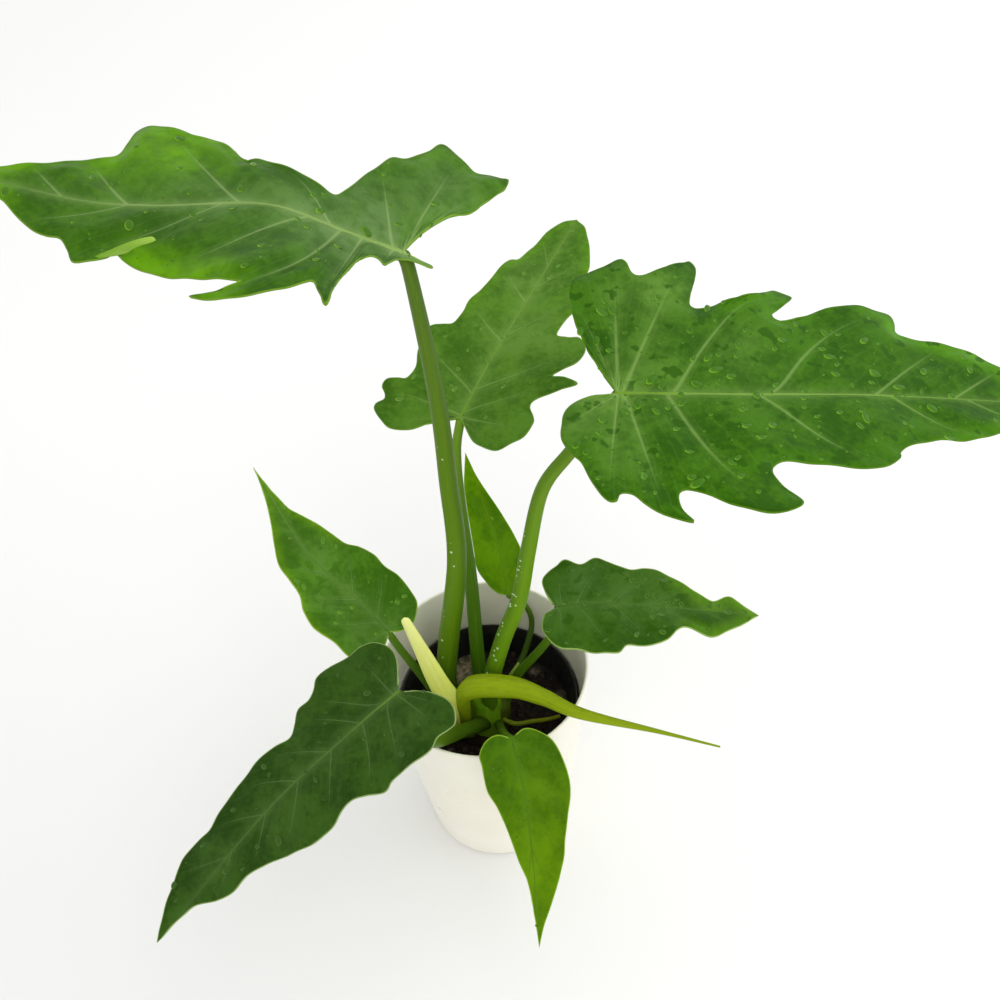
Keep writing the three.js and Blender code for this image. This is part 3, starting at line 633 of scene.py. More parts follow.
# beads of water
beadForm = {
    # most beads are small: a high power makes large ones rare
    "least": 0.35, "spread": 1.5, "power": 2.6, "longest": 1.9, "height": 0.3,
    # painted light in each bead: the way away from the lamp, and the even and turned shares of the bright
    # crescent
    "fromLight": (-0.9, -0.43, 0), "paintedLightShare": (0.55, 0.45),
}


def addBead(mesh, spot, up, spin, shape, finish):
    # one bead, with painted light: a bright crescent along its outline on the side away from the lamp,
    # standing in for light focused through the water
    lens = floatLayers(mesh, "lens")[0]
    turn = up.to_track_quat("Z", "Y").to_matrix().to_4x4() @ Matrix.Rotation(spin, 4, "Z")
    placed = Matrix.Translation(spot * mm) @ turn @ Matrix.Diagonal((*shape, 1))
    for vert in bmesh.ops.create_icosphere(mesh, subdivisions=2, radius=mm, matrix=placed)["verts"]:
        offset = vert.co / mm - spot
        height = offset @ up / shape[2]
        level = (offset - up * (offset @ up)).normalized()
        even, turned = beadForm["paintedLightShare"]
        vert[lens] = max(0, 1 - height * height) * (even + turned * (level @ Vector(beadForm["fromLight"])))
        for face in vert.link_faces:
            face.material_index = finish


def scatterDrops(mesh, leaf, halves, finish):
    # beads lie flat on the blade, spread evenly over its area or, with a fade, mostly near its foot
    values = leaf["drops"]
    pick = np.random.default_rng(values["seed"])
    for side, spots in zip((1, -1), halves):
        across, outward = spots[:-1, 1:] - spots[:-1, :-1], spots[1:, :-1] - spots[:-1, :-1]
        up = np.cross(across, outward) * side
        area = np.linalg.norm(up, axis=2)
        area[-1] = 0  # none on the margin itself
        area *= np.exp(-values.get("fade", 0) * np.linalg.norm(spots[:-1, :-1] - spots[0, 0], axis=2) / 100)
        chosen = pick.choice(area.size, values["count"] // 2, p=area.ravel() / area.sum())
        for row, column in zip(*np.divmod(chosen, area.shape[1])):
            size = beadForm["least"] + beadForm["spread"] * pick.random() ** beadForm["power"]
            size = values["size"] * size
            facing = Vector(up[row, column]).normalized()
            spot = Vector(spots[row, column] + pick.random() * outward[row, column])
            spot = spot + facing * leaf["thickness"] / 2
            spin = pick.uniform(*anySpin)
            shape = (size * pick.uniform(1, beadForm["longest"]), size, size * beadForm["height"])
            addBead(mesh, spot, facing, spin, shape, finish)


def beadMaterial(name, look):
    water, tree, shader = newMaterial(name, roughness=0.08, specular=0.15)
    # painted light: from the leaf's mid green to a brighter green on the bead's side away from the lamp
    tone = stretch(tree, attribute(tree, "lens"), 0.0, 0.9, 0.3, 0.85)
    colour = blendColour(tree, tone, paint(*look["mid"]), paint(*look["bead"]))
    tree.links.new(colour, shader.inputs["Base Color"])
    return water


# one look for each leaf: screen colours, and how wide, how clear and how wet; among the colours are the
# grey-green of the painted sheen and the bright green of the painted light inside the water beads
green = {
    "leaf_1": {
        "deep": (42, 80, 8), "mid": (60, 103, 12), "fresh": (92, 146, 0), "bloom": (92, 122, 68),
        "vein": (144, 172, 104), "edge": (112, 150, 40), "bead": (124, 168, 40), "underDeep": (96, 130, 52),
        "underMid": (112, 146, 64), "underVein": (150, 178, 96), "ribFoot": (130, 160, 82),
        "ribMid": (124, 152, 84), "ribTip": (84, 116, 48),
        "veinWidth": 1.0, "veinShare": 0.38, "wet": 0.2,
    },
    "leaf_2": {
        "deep": (36, 78, 0), "mid": (56, 103, 4), "fresh": (80, 138, 0), "bloom": (92, 130, 50),
        "vein": (128, 162, 84), "edge": (88, 130, 20), "bead": (112, 164, 36), "underDeep": (90, 128, 50),
        "underMid": (106, 142, 62), "underVein": (148, 176, 94), "ribFoot": (104, 140, 36),
        "ribMid": (112, 148, 62), "ribTip": (92, 130, 46),
        "veinWidth": 1.15, "veinShare": 0.44, "wet": 0.8,
    },
    "leaf_3": {
        "deep": (56, 96, 18), "mid": (80, 122, 32), "fresh": (92, 144, 6), "bloom": (98, 132, 60),
        "vein": (126, 160, 76), "edge": (112, 152, 50), "bead": (130, 164, 70), "underDeep": (100, 134, 56),
        "underMid": (118, 150, 68), "underVein": (150, 178, 92), "ribFoot": (104, 140, 40),
        "ribMid": (102, 138, 50), "ribTip": (96, 134, 44),
        "veinWidth": 0.8, "veinShare": 0.4, "wet": 0.2,
    },
    "leaf_4": {
        "deep": (52, 95, 6), "mid": (77, 125, 24), "fresh": (108, 154, 10), "bloom": (90, 126, 56),
        "vein": (110, 146, 70), "edge": (164, 192, 80), "bead": (120, 160, 60), "underDeep": (96, 130, 52),
        "underMid": (112, 144, 64), "underVein": (146, 172, 90), "ribFoot": (76, 110, 36),
        "ribMid": (84, 120, 44), "ribTip": (108, 146, 40),
        "veinWidth": 0.6, "veinShare": 0.4, "wet": 0.5,
    },
    "leaf_5": {
        "deep": (32, 60, 9), "mid": (49, 81, 20), "fresh": (66, 108, 14), "bloom": (64, 94, 38),
        "vein": (92, 122, 64), "edge": (150, 174, 104), "bead": (90, 124, 56), "underDeep": (84, 116, 50),
        "underMid": (100, 130, 60), "underVein": (136, 160, 86), "ribFoot": (92, 126, 44),
        "ribMid": (76, 106, 42), "ribTip": (60, 88, 30),
        "veinWidth": 0.65, "veinShare": 0.45, "wet": 0.4,
    },
    "leaf_6": {
        "deep": (44, 82, 0), "mid": (66, 105, 0), "fresh": (102, 142, 0), "bloom": (84, 126, 20),
        "vein": (96, 138, 24), "edge": (150, 184, 56), "bead": (130, 170, 30), "underDeep": (100, 138, 40),
        "underMid": (116, 152, 50), "underVein": (146, 178, 76), "ribFoot": (70, 108, 14),
        "ribMid": (80, 118, 16), "ribTip": (96, 134, 26),
        "veinWidth": 0.5, "veinShare": 0.35,
    },
    "leaf_7": {
        "deep": (41, 79, 3), "mid": (60, 99, 19), "fresh": (100, 150, 24), "bloom": (78, 112, 52),
        "vein": (96, 132, 60), "edge": (160, 188, 100), "bead": (110, 148, 60), "underDeep": (88, 122, 50),
        "underMid": (104, 136, 62), "underVein": (140, 166, 88), "ribFoot": (66, 100, 30),
        "ribMid": (76, 112, 40), "ribTip": (90, 128, 44),
        "veinWidth": 0.6, "veinShare": 0.4, "wet": 0.6,
    },
    "leaf_8": {
        "deep": (66, 110, 0), "mid": (94, 140, 0), "fresh": (104, 150, 0), "bloom": (90, 132, 10),
        "vein": (108, 150, 14), "edge": (130, 170, 20), "bead": (120, 160, 20), "underDeep": (108, 146, 26),
        "underMid": (124, 160, 36), "underVein": (148, 180, 62), "ribFoot": (92, 132, 12),
        "ribMid": (96, 136, 10), "ribTip": (98, 138, 8),
        "veinWidth": 0.45, "veinShare": 0.3,
    },
}

# every leaf: what they share, then each by itself; the sheen rib and spots say where the painted sheen lies
# margins are (u, v) from the stalk round to the tip; rib and routes are (x, y, z)
bladeShared = {"roll": 0, "curl": 0.5, "thickness": 0.7, "paintedSheenRib": 0.3}
leaves = {
    "leaf_1": {
        "rib": [
            (-13, 20, 445), (-38, 24, 457), (-67, 30, 469), (-116, 38, 468), (-149, 46, 469), (-197, 64, 475),
        ],
        "roll": -6, "foldLeft": (30, 0), "foldRight": (-8, -10), "curl": 0, "ripple": (0.6, 60, 60),
        "left": [
            (-3, 0.3), (-8, 0.8), (-13, 1.5), (-14, 3), (-12, 4.8), (-7, 4.6), (-2, 5), (2, 9), (4, 13),
            (6, 17), (8, 21), (10, 17), (13, 16), (16, 19), (19, 26), (22, 38), (25, 52), (26, 62), (27, 74),
            (30, 64), (33, 53), (36, 54), (43, 61), (52, 67), (63, 68), (70, 65), (79, 59.5), (72, 60),
            (65, 60.5), (58, 57), (67, 53), (77, 49), (86, 45.5), (95, 42), (104, 37.5), (113, 32),
            (118, 27.5), (121, 30), (126, 32.5), (132, 34), (136, 28), (141, 22.5), (147, 22), (154, 20.5),
            (165, 14), (173, 9), (182, 6), (190, 3),
        ],
        "right": [
            (-1, 3), (-3, 8), (-8, 19), (-13, 29), (-18, 35), (-24, 39), (-29, 45), (-33, 53), (-38, 62),
            (-42, 69), (-43, 77), (-39, 75.5), (-33, 75), (-27, 73), (-24, 74), (-18, 79), (-11, 82.5),
            (-7, 81), (-3, 74), (5, 64), (12, 61), (17, 53), (25, 38), (31, 25), (36, 20), (47, 24), (62, 29),
            (70, 32), (75, 31), (82, 39), (90, 47), (102, 52), (113, 57), (124, 60), (133, 59), (138.5, 54),
            (138, 44), (140, 34), (151, 28), (161, 22), (173, 16), (184, 9),
        ],
        "veinsLeft": [
            (8, 21, 3), (27, 74, 18), (79, 59.5, 27, 0.3, 1.12), (100, 40, 40, 0.25, 1),
            (132, 34, 77, 0.5, 0.52), (160, 17, 118, 0.5, 0.6),
        ],
        "veinsRight": [
            (-41, 67, 0, 0.25, 0.5), (-18, 79, 0), (17, 53, 3, 0.35, 0.5), (62, 29, 31, 0.3, 0.75),
            (118, 59, 70, 0.5, 0.55), (151, 28, 120, 0.5, 0.55), (173, 16, 148, 0.5, 0.55),
        ],
        "guidesLeft": [
            (-12, 4.8, 0), (13, 16, 6), (19, 26, 10), (22, 38, 14), (33, 53, 21), (52, 67, 25, 0.4, 0.8),
            (72, 60, 29, 0.3, 1.05), (58, 57, 31, 0.35, 0.9), (67, 53, 33, 0.3, 0.95),
            (83, 47, 35.5, 0.3, 0.95), (113, 32, 56, 0.4, 0.8), (118, 27.5, 68, 0.5, 0.55),
            (141, 22.5, 94, 0.5, 0.6),
        ],
        "guidesRight": [
            (-5, 12, 0), (-9, 21, 0, 0.45, 0.5), (-18, 35, 0, 0.28, 0.5), (-29, 45, 0, 0.22, 0.5),
            (-43, 77, 0, 0.3, 0.5), (5, 64, 0.5), (25, 38, 10), (36, 20, 23, 0.5, 0.55),
            (75, 31, 40, 0.5, 0.55), (82, 39, 50), (90, 47, 57), (138, 54, 90), (137, 44, 98), (140, 34, 108),
        ],
        "midribWidth": 1.7, "midribDepth": 2.2, "grain": 1.5, "rows": 34, "quilt": 2.1, "flutter": 0.35,
        "freshEdges": [
            (-1, 80, 150, 0.9, 24), (-1, 160, 200, 0.8, 12), (1, 60, 116, 1.0, 20), (1, 168, 200, 0.8, 12),
            (-1, -50, 10, 0.3, 14),
        ],
        "freshSpots": [(112, -36, 22, 0.9)], "freshTip": 0.7,
        "paintedSheenRib": 0.8, "paintedSheenSpots": [(20, -14, 22, 0.6), (26, 14, 20, 0.6), (-14, -46, 20, 0.6)],
        "flap": {
            "path": [(125, 30.5, 0.4), (119, 29, 1.6), (112, 26.5, 2.4), (106, 24.5, 2.6), (101, 23, 2.2)],
            "form": {
                "radii": [0.5, 1.3, 2.1, 2.5, 2.3], "flat": 0.2, "side": (0, 0.6, 0.77), "steps": 40,
                "sides": 20, "roundTop": 2, "roundFoot": 2,
            },
            "look": {"length": 2, "middle": (104, 146, 30), "top": (140, 176, 64), "streak": (172, 200, 110)},
        },
        "petiole": {
            "route": [
                (-20, 0, 106), (-24, 7, 127), (-19, 12, 165), (-8, 12, 239), (-7, 16, 300), (-7, 20, 354),
                (-11, 20, 430), (-13, 20, 444),
            ],
            "radii": [6.2, 5.9, 5, 4.1, 3], "groove": 0.06, "ribs": 0.006, "steps": 120,
        },
        "drops": {"count": 80, "seed": 11, "size": 1.15},
    },
    "leaf_2": {
        "rib": [(75, -10, 378), (129, -16, 376), (195, -12, 362), (285, -5, 336)],
        "foldLeft": (8, 4), "foldRight": (8, 4), "curl": 0.6, "ripple": (2, 55, 60),
        "left": [
            (-2, 3), (-6, 10), (-13, 24), (-19, 41), (-22, 56), (-22, 66), (-20, 73), (-13, 77), (-6, 80),
            (1, 83), (4, 80), (6, 73), (9, 70), (14, 71), (24, 79), (31, 83), (36, 86), (40, 81), (38, 72),
            (34, 58), (35, 54), (41, 53), (58, 58), (73, 62), (84, 67), (91, 70), (99, 67), (94, 61),
            (83, 51), (83, 48), (89, 48), (100, 52), (112, 56), (125, 58), (138, 58), (146, 56), (147, 50),
            (145, 43), (149, 40), (164, 37), (178, 32), (194, 22), (206, 11),
        ],
        "right": [
            (-4, 1), (-12, 2), (-19, 6), (-24, 14), (-25, 22), (-25, 31), (-20, 41), (-16, 47), (-12, 59),
            (-6, 70), (-2, 71), (0, 66), (6, 65), (12, 69), (21, 73), (31, 77), (27, 69), (26, 62), (29, 59),
            (36, 63), (45, 71), (54, 75), (66, 67), (60, 58), (58, 50), (62, 44), (70, 43), (86, 45),
            (98, 48), (108, 46), (116, 41), (118, 37), (125, 32), (140, 28), (155, 28), (174, 22), (190, 16),
            (205, 8),
        ],
        "veinsLeft": [
            (-22, 62, 0), (1, 83, 0), (31, 83, 1, 0.45, 0.5), (99, 67, 24, 0.35, 0.95),
            (142, 57, 67, 0.4, 0.85), (168, 36, 119, 0.5, 0.55), (194, 22, 158, 0.5, 0.55),
        ],
        "veinsRight": [
            (-25, 26, 0), (-6, 70, 0), (26, 76, 1, 0.4, 0.6), (56, 74, 21, 0.5, 0.62),
            (104, 47, 61, 0.4, 0.85), (160, 27, 125, 0.4, 0.9), (190, 16, 165, 0.5, 0.55),
        ],
        "guidesLeft": [
            (-12, 23, 0), (38, 72, 6), (34, 58, 9), (41, 53, 13, 0.5, 0.55), (73, 62, 20, 0.4, 0.8),
            (94, 61, 27, 0.35, 0.95), (83, 50, 31, 0.35, 0.9), (89, 48, 37, 0.4, 0.85),
            (112, 56, 54, 0.4, 0.85), (147, 50, 82, 0.45, 0.7), (149, 40, 96, 0.5, 0.6),
        ],
        "guidesRight": [
            (-12, 2, 0), (-2, 71, 0.3), (27, 69, 5), (29, 59, 10), (36, 63, 14), (66, 67, 27, 0.5, 0.6),
            (58, 50, 36, 0.5, 0.6), (70, 43, 44, 0.45, 0.7), (116, 41, 80, 0.45, 0.7),
            (125, 32, 102, 0.45, 0.7),
        ],
        "midribWidth": 1.65, "midribDepth": 2.2, "grain": 1.5, "rows": 34, "quilt": 1.5, "flutter": 0.3,
        "freshEdges": [(1, 130, 215, 0.9, 16), (-1, 150, 215, 0.5, 10), (1, 60, 100, 0.4, 12)],
        "freshSpots": [(138, 38, 14, 0.5)], "freshTip": 0.3,
        "paintedSheenRib": 0.25,
        "paintedSheenSpots": [
            (10, 60, 18, 0.7), (60, 30, 16, 0.4), (-12, -18, 15, 0.9), (0, -42, 16, 0.4), (10, 10, 26, 0.5),
            (30, 62, 14, 0.4),
        ],
        "petiole": {
            "route": [
                (0, -4, 108), (2, -2, 135), (12, 0, 177), (23, 0, 214), (30, 0, 257), (39, 0, 304),
                (53, -2, 332), (68, -8, 362), (75, -10, 377),
            ],
            "radii": [5, 4.8, 4.3, 3.5, 2.9], "groove": 0.05, "ribs": 0.006, "steps": 110,
        },
        "drops": {"count": 280, "seed": 22, "size": 1.15, "fade": 0.8},
    },
    "leaf_3": {
        "rib": [(1, 75, 282), (20, 106, 292), (44, 144, 299), (79, 209, 300)],
        "foldLeft": (10, 5), "foldRight": (10, 5), "ripple": (1.5, 45, 45),
        "left": [
            (-2, 2), (-5, 7), (-10, 14), (-17, 22), (-21, 32), (-18, 40), (-14, 46), (-10, 47), (-6, 44),
            (-3, 45), (0, 48), (5, 47), (8, 42), (10, 37), (18, 36), (28, 40), (38, 42), (44, 41), (48, 35),
            (51, 30), (59, 29), (69, 30), (80, 28), (89, 26), (100, 25), (109, 22), (112, 18), (122, 15),
            (132, 13), (143, 11), (152, 6),
        ],
        "right": [
            (-1, 1), (-6, 7), (-11, 13), (-13, 19), (-13, 29), (-7, 36), (-1, 41), (8, 42), (12, 40),
            (18, 35), (24, 38), (31, 47), (37, 55), (39, 47), (38, 39), (43, 42), (51, 47), (62, 47),
            (68, 40), (66, 34), (66, 27), (78, 28), (90, 33), (98, 36), (104, 34), (107, 27), (114, 24),
            (120, 23), (135, 17), (146, 11), (152, 7),
        ],
        "veinsLeft": [
            (-19, 36, 0), (1, 48, 0.5), (36, 42, 15, 0.45, 0.7), (69, 30, 52, 0.45, 0.7),
            (104, 24, 82, 0.5, 0.6), (134, 13, 112, 0.5, 0.6),
        ],
        "veinsRight": [
            (-13, 25, 0), (3, 42, 0), (37, 55, 2, 0.6, 0.45), (60, 47, 18, 0.4, 0.7), (98, 36, 54),
            (126, 21, 92, 0.5, 0.6),
        ],
        "guidesLeft": [
            (-5, 7, 0), (-10, 14, 0, 0.4, 0.5), (10, 37, 3), (48, 35, 26, 0.5, 0.6), (51, 30, 34, 0.5, 0.6),
            (112, 18, 90, 0.5, 0.6),
        ],
        "guidesRight": [
            (-6, 7, 0), (12, 40, 0.5), (18, 35, 1, 0.5, 0.45), (24, 38, 1.5, 0.55, 0.45), (38, 39, 6),
            (43, 42, 9), (68, 40, 25, 0.45, 0.6), (66, 27, 35, 0.5, 0.55), (78, 28, 43), (90, 33, 50),
            (107, 27, 68),
        ],
        "midribWidth": 1.3, "midribDepth": 1.8, "grain": 1.5, "rows": 24, "quilt": 0.8, "flutter": 0.3,
        "freshEdges": [(1, 60, 160, 0.4, 8), (-1, 80, 160, 0.4, 8)],
        "freshTip": 0.2,
        "paintedSheenSpots": [(60, -16, 18, 0.4), (100, 10, 14, 0.4)],
        "petiole": {
            "route": [(-3, 4, 108), (-4, 15, 136), (-3, 36, 188), (-4, 56, 236), (-3, 67, 265), (1, 75, 281)],
            "radii": [4.6, 4.1, 3.7, 2.9, 2.5], "groove": 0.05, "ribs": 0.006, "steps": 80,
        },
        "drops": {"count": 60, "seed": 33, "size": 1.0},
    },
    "leaf_4": {
        "rib": [(-52, 10, 181), (-68, 28, 190), (-97, 61, 199), (-129, 125, 203)],
        "foldLeft": (14, 10), "foldRight": (14, 10), "ripple": (1, 40, 28),
        "left": [
            (-2, 2), (-5, 8), (-7, 15), (-6, 22), (-1, 28), (6, 30), (14, 30), (23, 32), (32, 32), (41, 29),
            (49, 23), (60, 20), (69, 19), (82, 14), (96, 9), (111, 5), (127, 2),
        ],
        "right": [
            (-1, 1), (-5, 7), (-6, 13), (-3, 19), (2, 24), (10, 26), (21, 27), (29, 25), (37, 26), (48, 24),
            (58, 20), (73, 17), (88, 12), (101, 6), (116, 3), (130, 1),
        ],
        "veinsLeft": [
            (-7, 18, 0), (4, 30, 0), (30, 32, 6, 0.45, 0.7), (52, 22, 26, 0.45, 0.7), (76, 16, 48, 0.45, 0.7),
            (102, 7, 76, 0.5, 0.6),
        ],
        "veinsRight": [
            (-6, 12, 0), (4, 25, 0), (34, 26, 8, 0.45, 0.7), (58, 20, 30, 0.45, 0.7), (84, 13, 54, 0.45, 0.7),
            (108, 5, 82, 0.5, 0.6),
        ],
        "guidesLeft": [(-2, 2, 0)],
        "guidesRight": [(-1, 1, 0)],
        "midribWidth": 0.95, "midribDepth": 1.3, "grain": 1.2, "rows": 20, "quilt": 0.6, "flutter": 0.25,
        "freshEdges": [(1, 20, 150, 0.4, 7), (-1, 60, 150, 0.5, 6)],
        "freshTip": 1.0,
        "paintedSheenSpots": [(6, 16, 10, 0.5), (34, 14, 12, 0.4), (60, -8, 10, 0.3)],
        "petiole": {
            "route": [(-15, -5, 102), (-27, -4, 124), (-39, 3, 150), (-47, 7, 168), (-52, 10, 180.5)],
            "radii": [2.6, 2.5, 2.2], "steps": 50,
        },
        "drops": {"count": 40, "seed": 44, "size": 0.85},
    },
    "leaf_5": {
        "rib": [(-45, -50, 212), (-71, -64, 200), (-118, -92, 177), (-182, -140, 136)],
        "foldLeft": (8, 2), "foldRight": (8, 2), "curl": 1.5, "ripple": (2.5, 38, 38),
        "left": [
            (-4, 3), (-9, 7), (-14, 13), (-19, 22), (-20, 31), (-16, 37), (-10, 37), (-4, 37), (2, 41),
            (9, 42), (20, 39), (29, 38), (35, 40), (43, 36), (51, 32), (60, 32), (70, 34), (82, 34), (95, 28),
            (109, 21), (120, 17), (133, 16), (142, 12), (152, 4.5), (160, 2), (170, 0.8),
        ],
        "right": [
            (-3, 3), (-8, 10), (-11, 17), (-11, 23), (-7, 30), (-2, 33), (9, 36), (21, 39), (29, 38),
            (34, 33), (40, 31), (48, 32), (54, 27), (60, 22), (68, 24), (78, 25), (86, 25), (100, 23),
            (110, 21), (121, 19), (129, 20), (140, 20.5), (147, 18), (157, 14), (168, 9),
        ],
        "veinsLeft": [
            (-19, 28, 0), (-10, 37, 0), (22, 39, 4, 0.45, 0.65), (42, 36, 24, 0.45, 0.7),
            (72, 34, 45, 0.45, 0.65), (98, 26, 68, 0.45, 0.7), (120, 17, 92, 0.5, 0.6),
            (142, 12, 118, 0.5, 0.6),
        ],
        "veinsRight": [
            (-10, 20, 0), (7, 36, 2), (42, 31, 6, 0.55, 0.5), (54, 27, 25, 0.45, 0.7),
            (78, 25, 47, 0.45, 0.7), (100, 23, 70, 0.45, 0.7), (124, 20, 94, 0.45, 0.7),
            (150, 16, 122, 0.5, 0.6),
        ],
        "guidesLeft": [(-8, 7, 0), (-14, 13, 0)],
        "guidesRight": [(-3, 3, 0)],
        "midribWidth": 1.1, "midribDepth": 1.8, "grain": 1.4, "rows": 24, "quilt": 0.9, "flutter": 0.3,
        "freshTip": 0.3,
        "paintedSheenSpots": [(0, 20, 14, 0.4), (60, -12, 16, 0.3), (90, 14, 14, 0.3), (130, -8, 14, 0.3)],
        "petiole": {
            "route": [(-3, -7, 102), (-17, -32, 136), (-31, -55, 168), (-40, -57, 191), (-45, -50, 211)],
            "radii": [4.6, 4.3, 3.9, 3.4, 2.8], "steps": 70,
        },
        "drops": {"count": 60, "seed": 55, "size": 1.1},
    },
    "leaf_6": {
        "rib": [(12, -58, 168), (16, -84, 146), (17, -112, 113), (16, -139, 78)],
        "foldLeft": (14, 8), "foldRight": (14, 8), "ripple": (1, 40, 24),
        "left": [
            (-2, 3), (-4, 8), (-2, 14), (3, 20), (9, 23), (18, 25), (27, 26), (35, 25), (45, 22), (58, 19),
            (70, 17), (88, 11), (99, 7), (110, 3),
        ],
        "right": [
            (-1, 2), (-4, 8), (-2, 15), (4, 20), (10, 20), (24, 20), (35, 16), (50, 12), (68, 8), (82, 4),
            (99, 2), (110, 1),
        ],
        "veinsLeft": [
            (-3, 12, 0), (14, 24, 1, 0.5, 0.55), (42, 23, 16, 0.45, 0.7), (66, 17, 38, 0.45, 0.7),
            (92, 10, 62, 0.5, 0.6),
        ],
        "veinsRight": [
            (-3, 12, 0), (8, 20, 1, 0.5, 0.55), (36, 16, 16, 0.45, 0.7), (58, 10, 38, 0.45, 0.7),
            (84, 4, 62, 0.5, 0.6),
        ],
        "guidesLeft": [(-2, 3, 0)],
        "guidesRight": [(-1, 2, 0)],
        "midribWidth": 0.85, "midribDepth": 1.2, "grain": 1.1, "rows": 20, "quilt": 0.6, "flutter": 0.2,
        "freshEdges": [(1, 30, 120, 0.5, 8)],
        "freshSpots": [(30, 10, 20, 0.4), (75, 4, 30, 0.8)], "freshTip": 0.8,
        "paintedSheenRib": 0.15,
        "petiole": {
            "route": [(4, -5, 98), (6, -24, 120), (8, -42, 146), (11, -55, 163), (12, -58, 167.5)],
            "radii": [2.8, 2.4, 2], "steps": 50,
        },
        "drops": {"count": 10, "seed": 66, "size": 0.6},
    },
    "leaf_7": {
        "rib": [(44, 0, 204), (67, 0, 204), (108, -4, 198), (155, -5, 184)],
        "foldLeft": (8, 4), "foldRight": (8, 4), "ripple": (2, 34, 30),
        "left": [
            (-3, 2), (-6, 10), (-7, 18), (-2, 24), (3, 26), (8, 28), (15, 25), (22, 30), (28, 28), (39, 22),
            (48, 24), (58, 24), (70, 17), (78, 12), (87, 7), (97, 11), (103, 8),
        ],
        "right": [
            (-4, 2), (-8, 5), (-10, 14), (-7, 24), (-1, 31), (9, 32), (22, 35), (32, 36), (38, 29), (51, 26),
            (59, 22), (65, 15), (71, 13), (82, 18), (93, 13), (102, 8),
        ],
        "veinsLeft": [
            (-6, 14, 0), (4, 27, 0), (26, 29, 10, 0.45, 0.65), (54, 24, 30, 0.5, 0.6),
            (74, 14, 50, 0.5, 0.55), (98, 10, 76),
        ],
        "veinsRight": [
            (-9, 12, 0), (0, 31, 0), (32, 36, 8, 0.45, 0.6), (54, 25, 30, 0.45, 0.7), (82, 18, 54),
            (100, 9, 78, 0.5, 0.55),
        ],
        "guidesLeft": [(-3, 2, 0), (87, 7, 66)],
        "guidesRight": [(-2, 2, 0), (71, 13, 50)],
        "midribWidth": 0.95, "midribDepth": 1.3, "grain": 1.2, "rows": 22, "quilt": 0.8, "flutter": 0.3,
        "freshEdges": [(1, 64, 120, 0.8, 12), (-1, 70, 120, 0.7, 10)],
        "freshTip": 0.8,
        "paintedSheenSpots": [(16, 12, 12, 0.5), (40, 10, 10, 0.4), (60, -6, 10, 0.3)],
        "petiole": {
            "route": [
                (8, 2, 100), (14, 5, 118), (20, 5, 135), (32, 3, 158), (39, 1, 175), (43, 0, 192),
                (44, 0, 203.5),
            ],
            "radii": [3, 2.8, 2.4, 2.1], "steps": 60,
        },
        "drops": {"count": 90, "seed": 77, "size": 1.0},
    },
    "leaf_8": {
        "rib": [(17, 45, 158), (15, 63, 173), (9, 85, 190), (0, 118, 206)],
        "foldLeft": (15, 12), "foldRight": (15, 12), "curl": 0, "ripple": (0.5, 40, 15),
        "left": [(0, 2), (2, 6), (8, 11), (19, 16), (32, 15), (50, 12), (69, 8), (80, 4)],
        "right": [(0, 2), (1, 6), (6, 11), (14, 13), (24, 13), (30, 12), (44, 9), (56, 6), (67, 3), (78, 1)],
        "veinsLeft": [(4, 9, 0), (26, 16, 8, 0.45, 0.6), (48, 12, 26, 0.45, 0.7), (68, 8, 46, 0.5, 0.6)],
        "veinsRight": [(4, 10, 0), (24, 13, 8, 0.45, 0.6), (44, 9, 26, 0.45, 0.7), (64, 4, 46, 0.5, 0.6)],
        "guidesLeft": [(2, 6, 0)],
        "guidesRight": [(1, 6, 0)],
        "midribWidth": 0.75, "midribDepth": 1.0, "grain": 1.1, "rows": 14, "quilt": 0.4, "flutter": 0.15,
        "freshTip": 0.3,
        "paintedSheenRib": 0.1,
        "petiole": {
            "route": [
                (8, 5, 100), (16, 18, 110), (24, 29, 119), (30, 39, 134), (27, 43, 148), (20, 44, 155),
                (17, 45, 157.6),
            ],
            "radii": [2, 1.8, 1.4], "steps": 60,
        },
        "drops": {"count": 6, "seed": 88, "size": 0.5},
    },
}

# each stalk's colours; where shade is set, one side of the stalk gets painted shade
stalkLooks = {
    "leaf_1": {
        "foot": (52, 80, 12), "middle": (86, 122, 8), "top": (78, 108, 26), "streak": (98, 130, 30),
        "shade": 1,
    },
    "leaf_2": {
        "foot": (70, 108, 10), "middle": (100, 142, 14), "top": (100, 134, 34), "streak": (118, 150, 40),
        "shade": -1,
    },
    "leaf_3": {
        "foot": (48, 84, 10), "middle": (68, 108, 10), "top": (106, 142, 34), "streak": (94, 130, 34),
        "shade": 1,
    },
    "leaf_4": {"foot": (50, 84, 12), "middle": (62, 98, 16), "top": (82, 120, 26), "streak": (88, 122, 30)},
    "leaf_5": {"foot": (45, 66, 6), "middle": (66, 98, 10), "top": (90, 124, 30), "streak": (88, 116, 30)},
    "leaf_6": {"foot": (54, 80, 18), "middle": (68, 98, 18), "top": (82, 120, 20), "streak": (96, 126, 34)},
    "leaf_7": {
        "foot": (52, 86, 8), "middle": (76, 114, 16), "top": (82, 118, 28), "streak": (98, 134, 34),
        "shade": 1,
    },
    "leaf_8": {"foot": (50, 74, 20), "middle": (60, 86, 26), "top": (82, 118, 20), "streak": (84, 112, 38)},
}

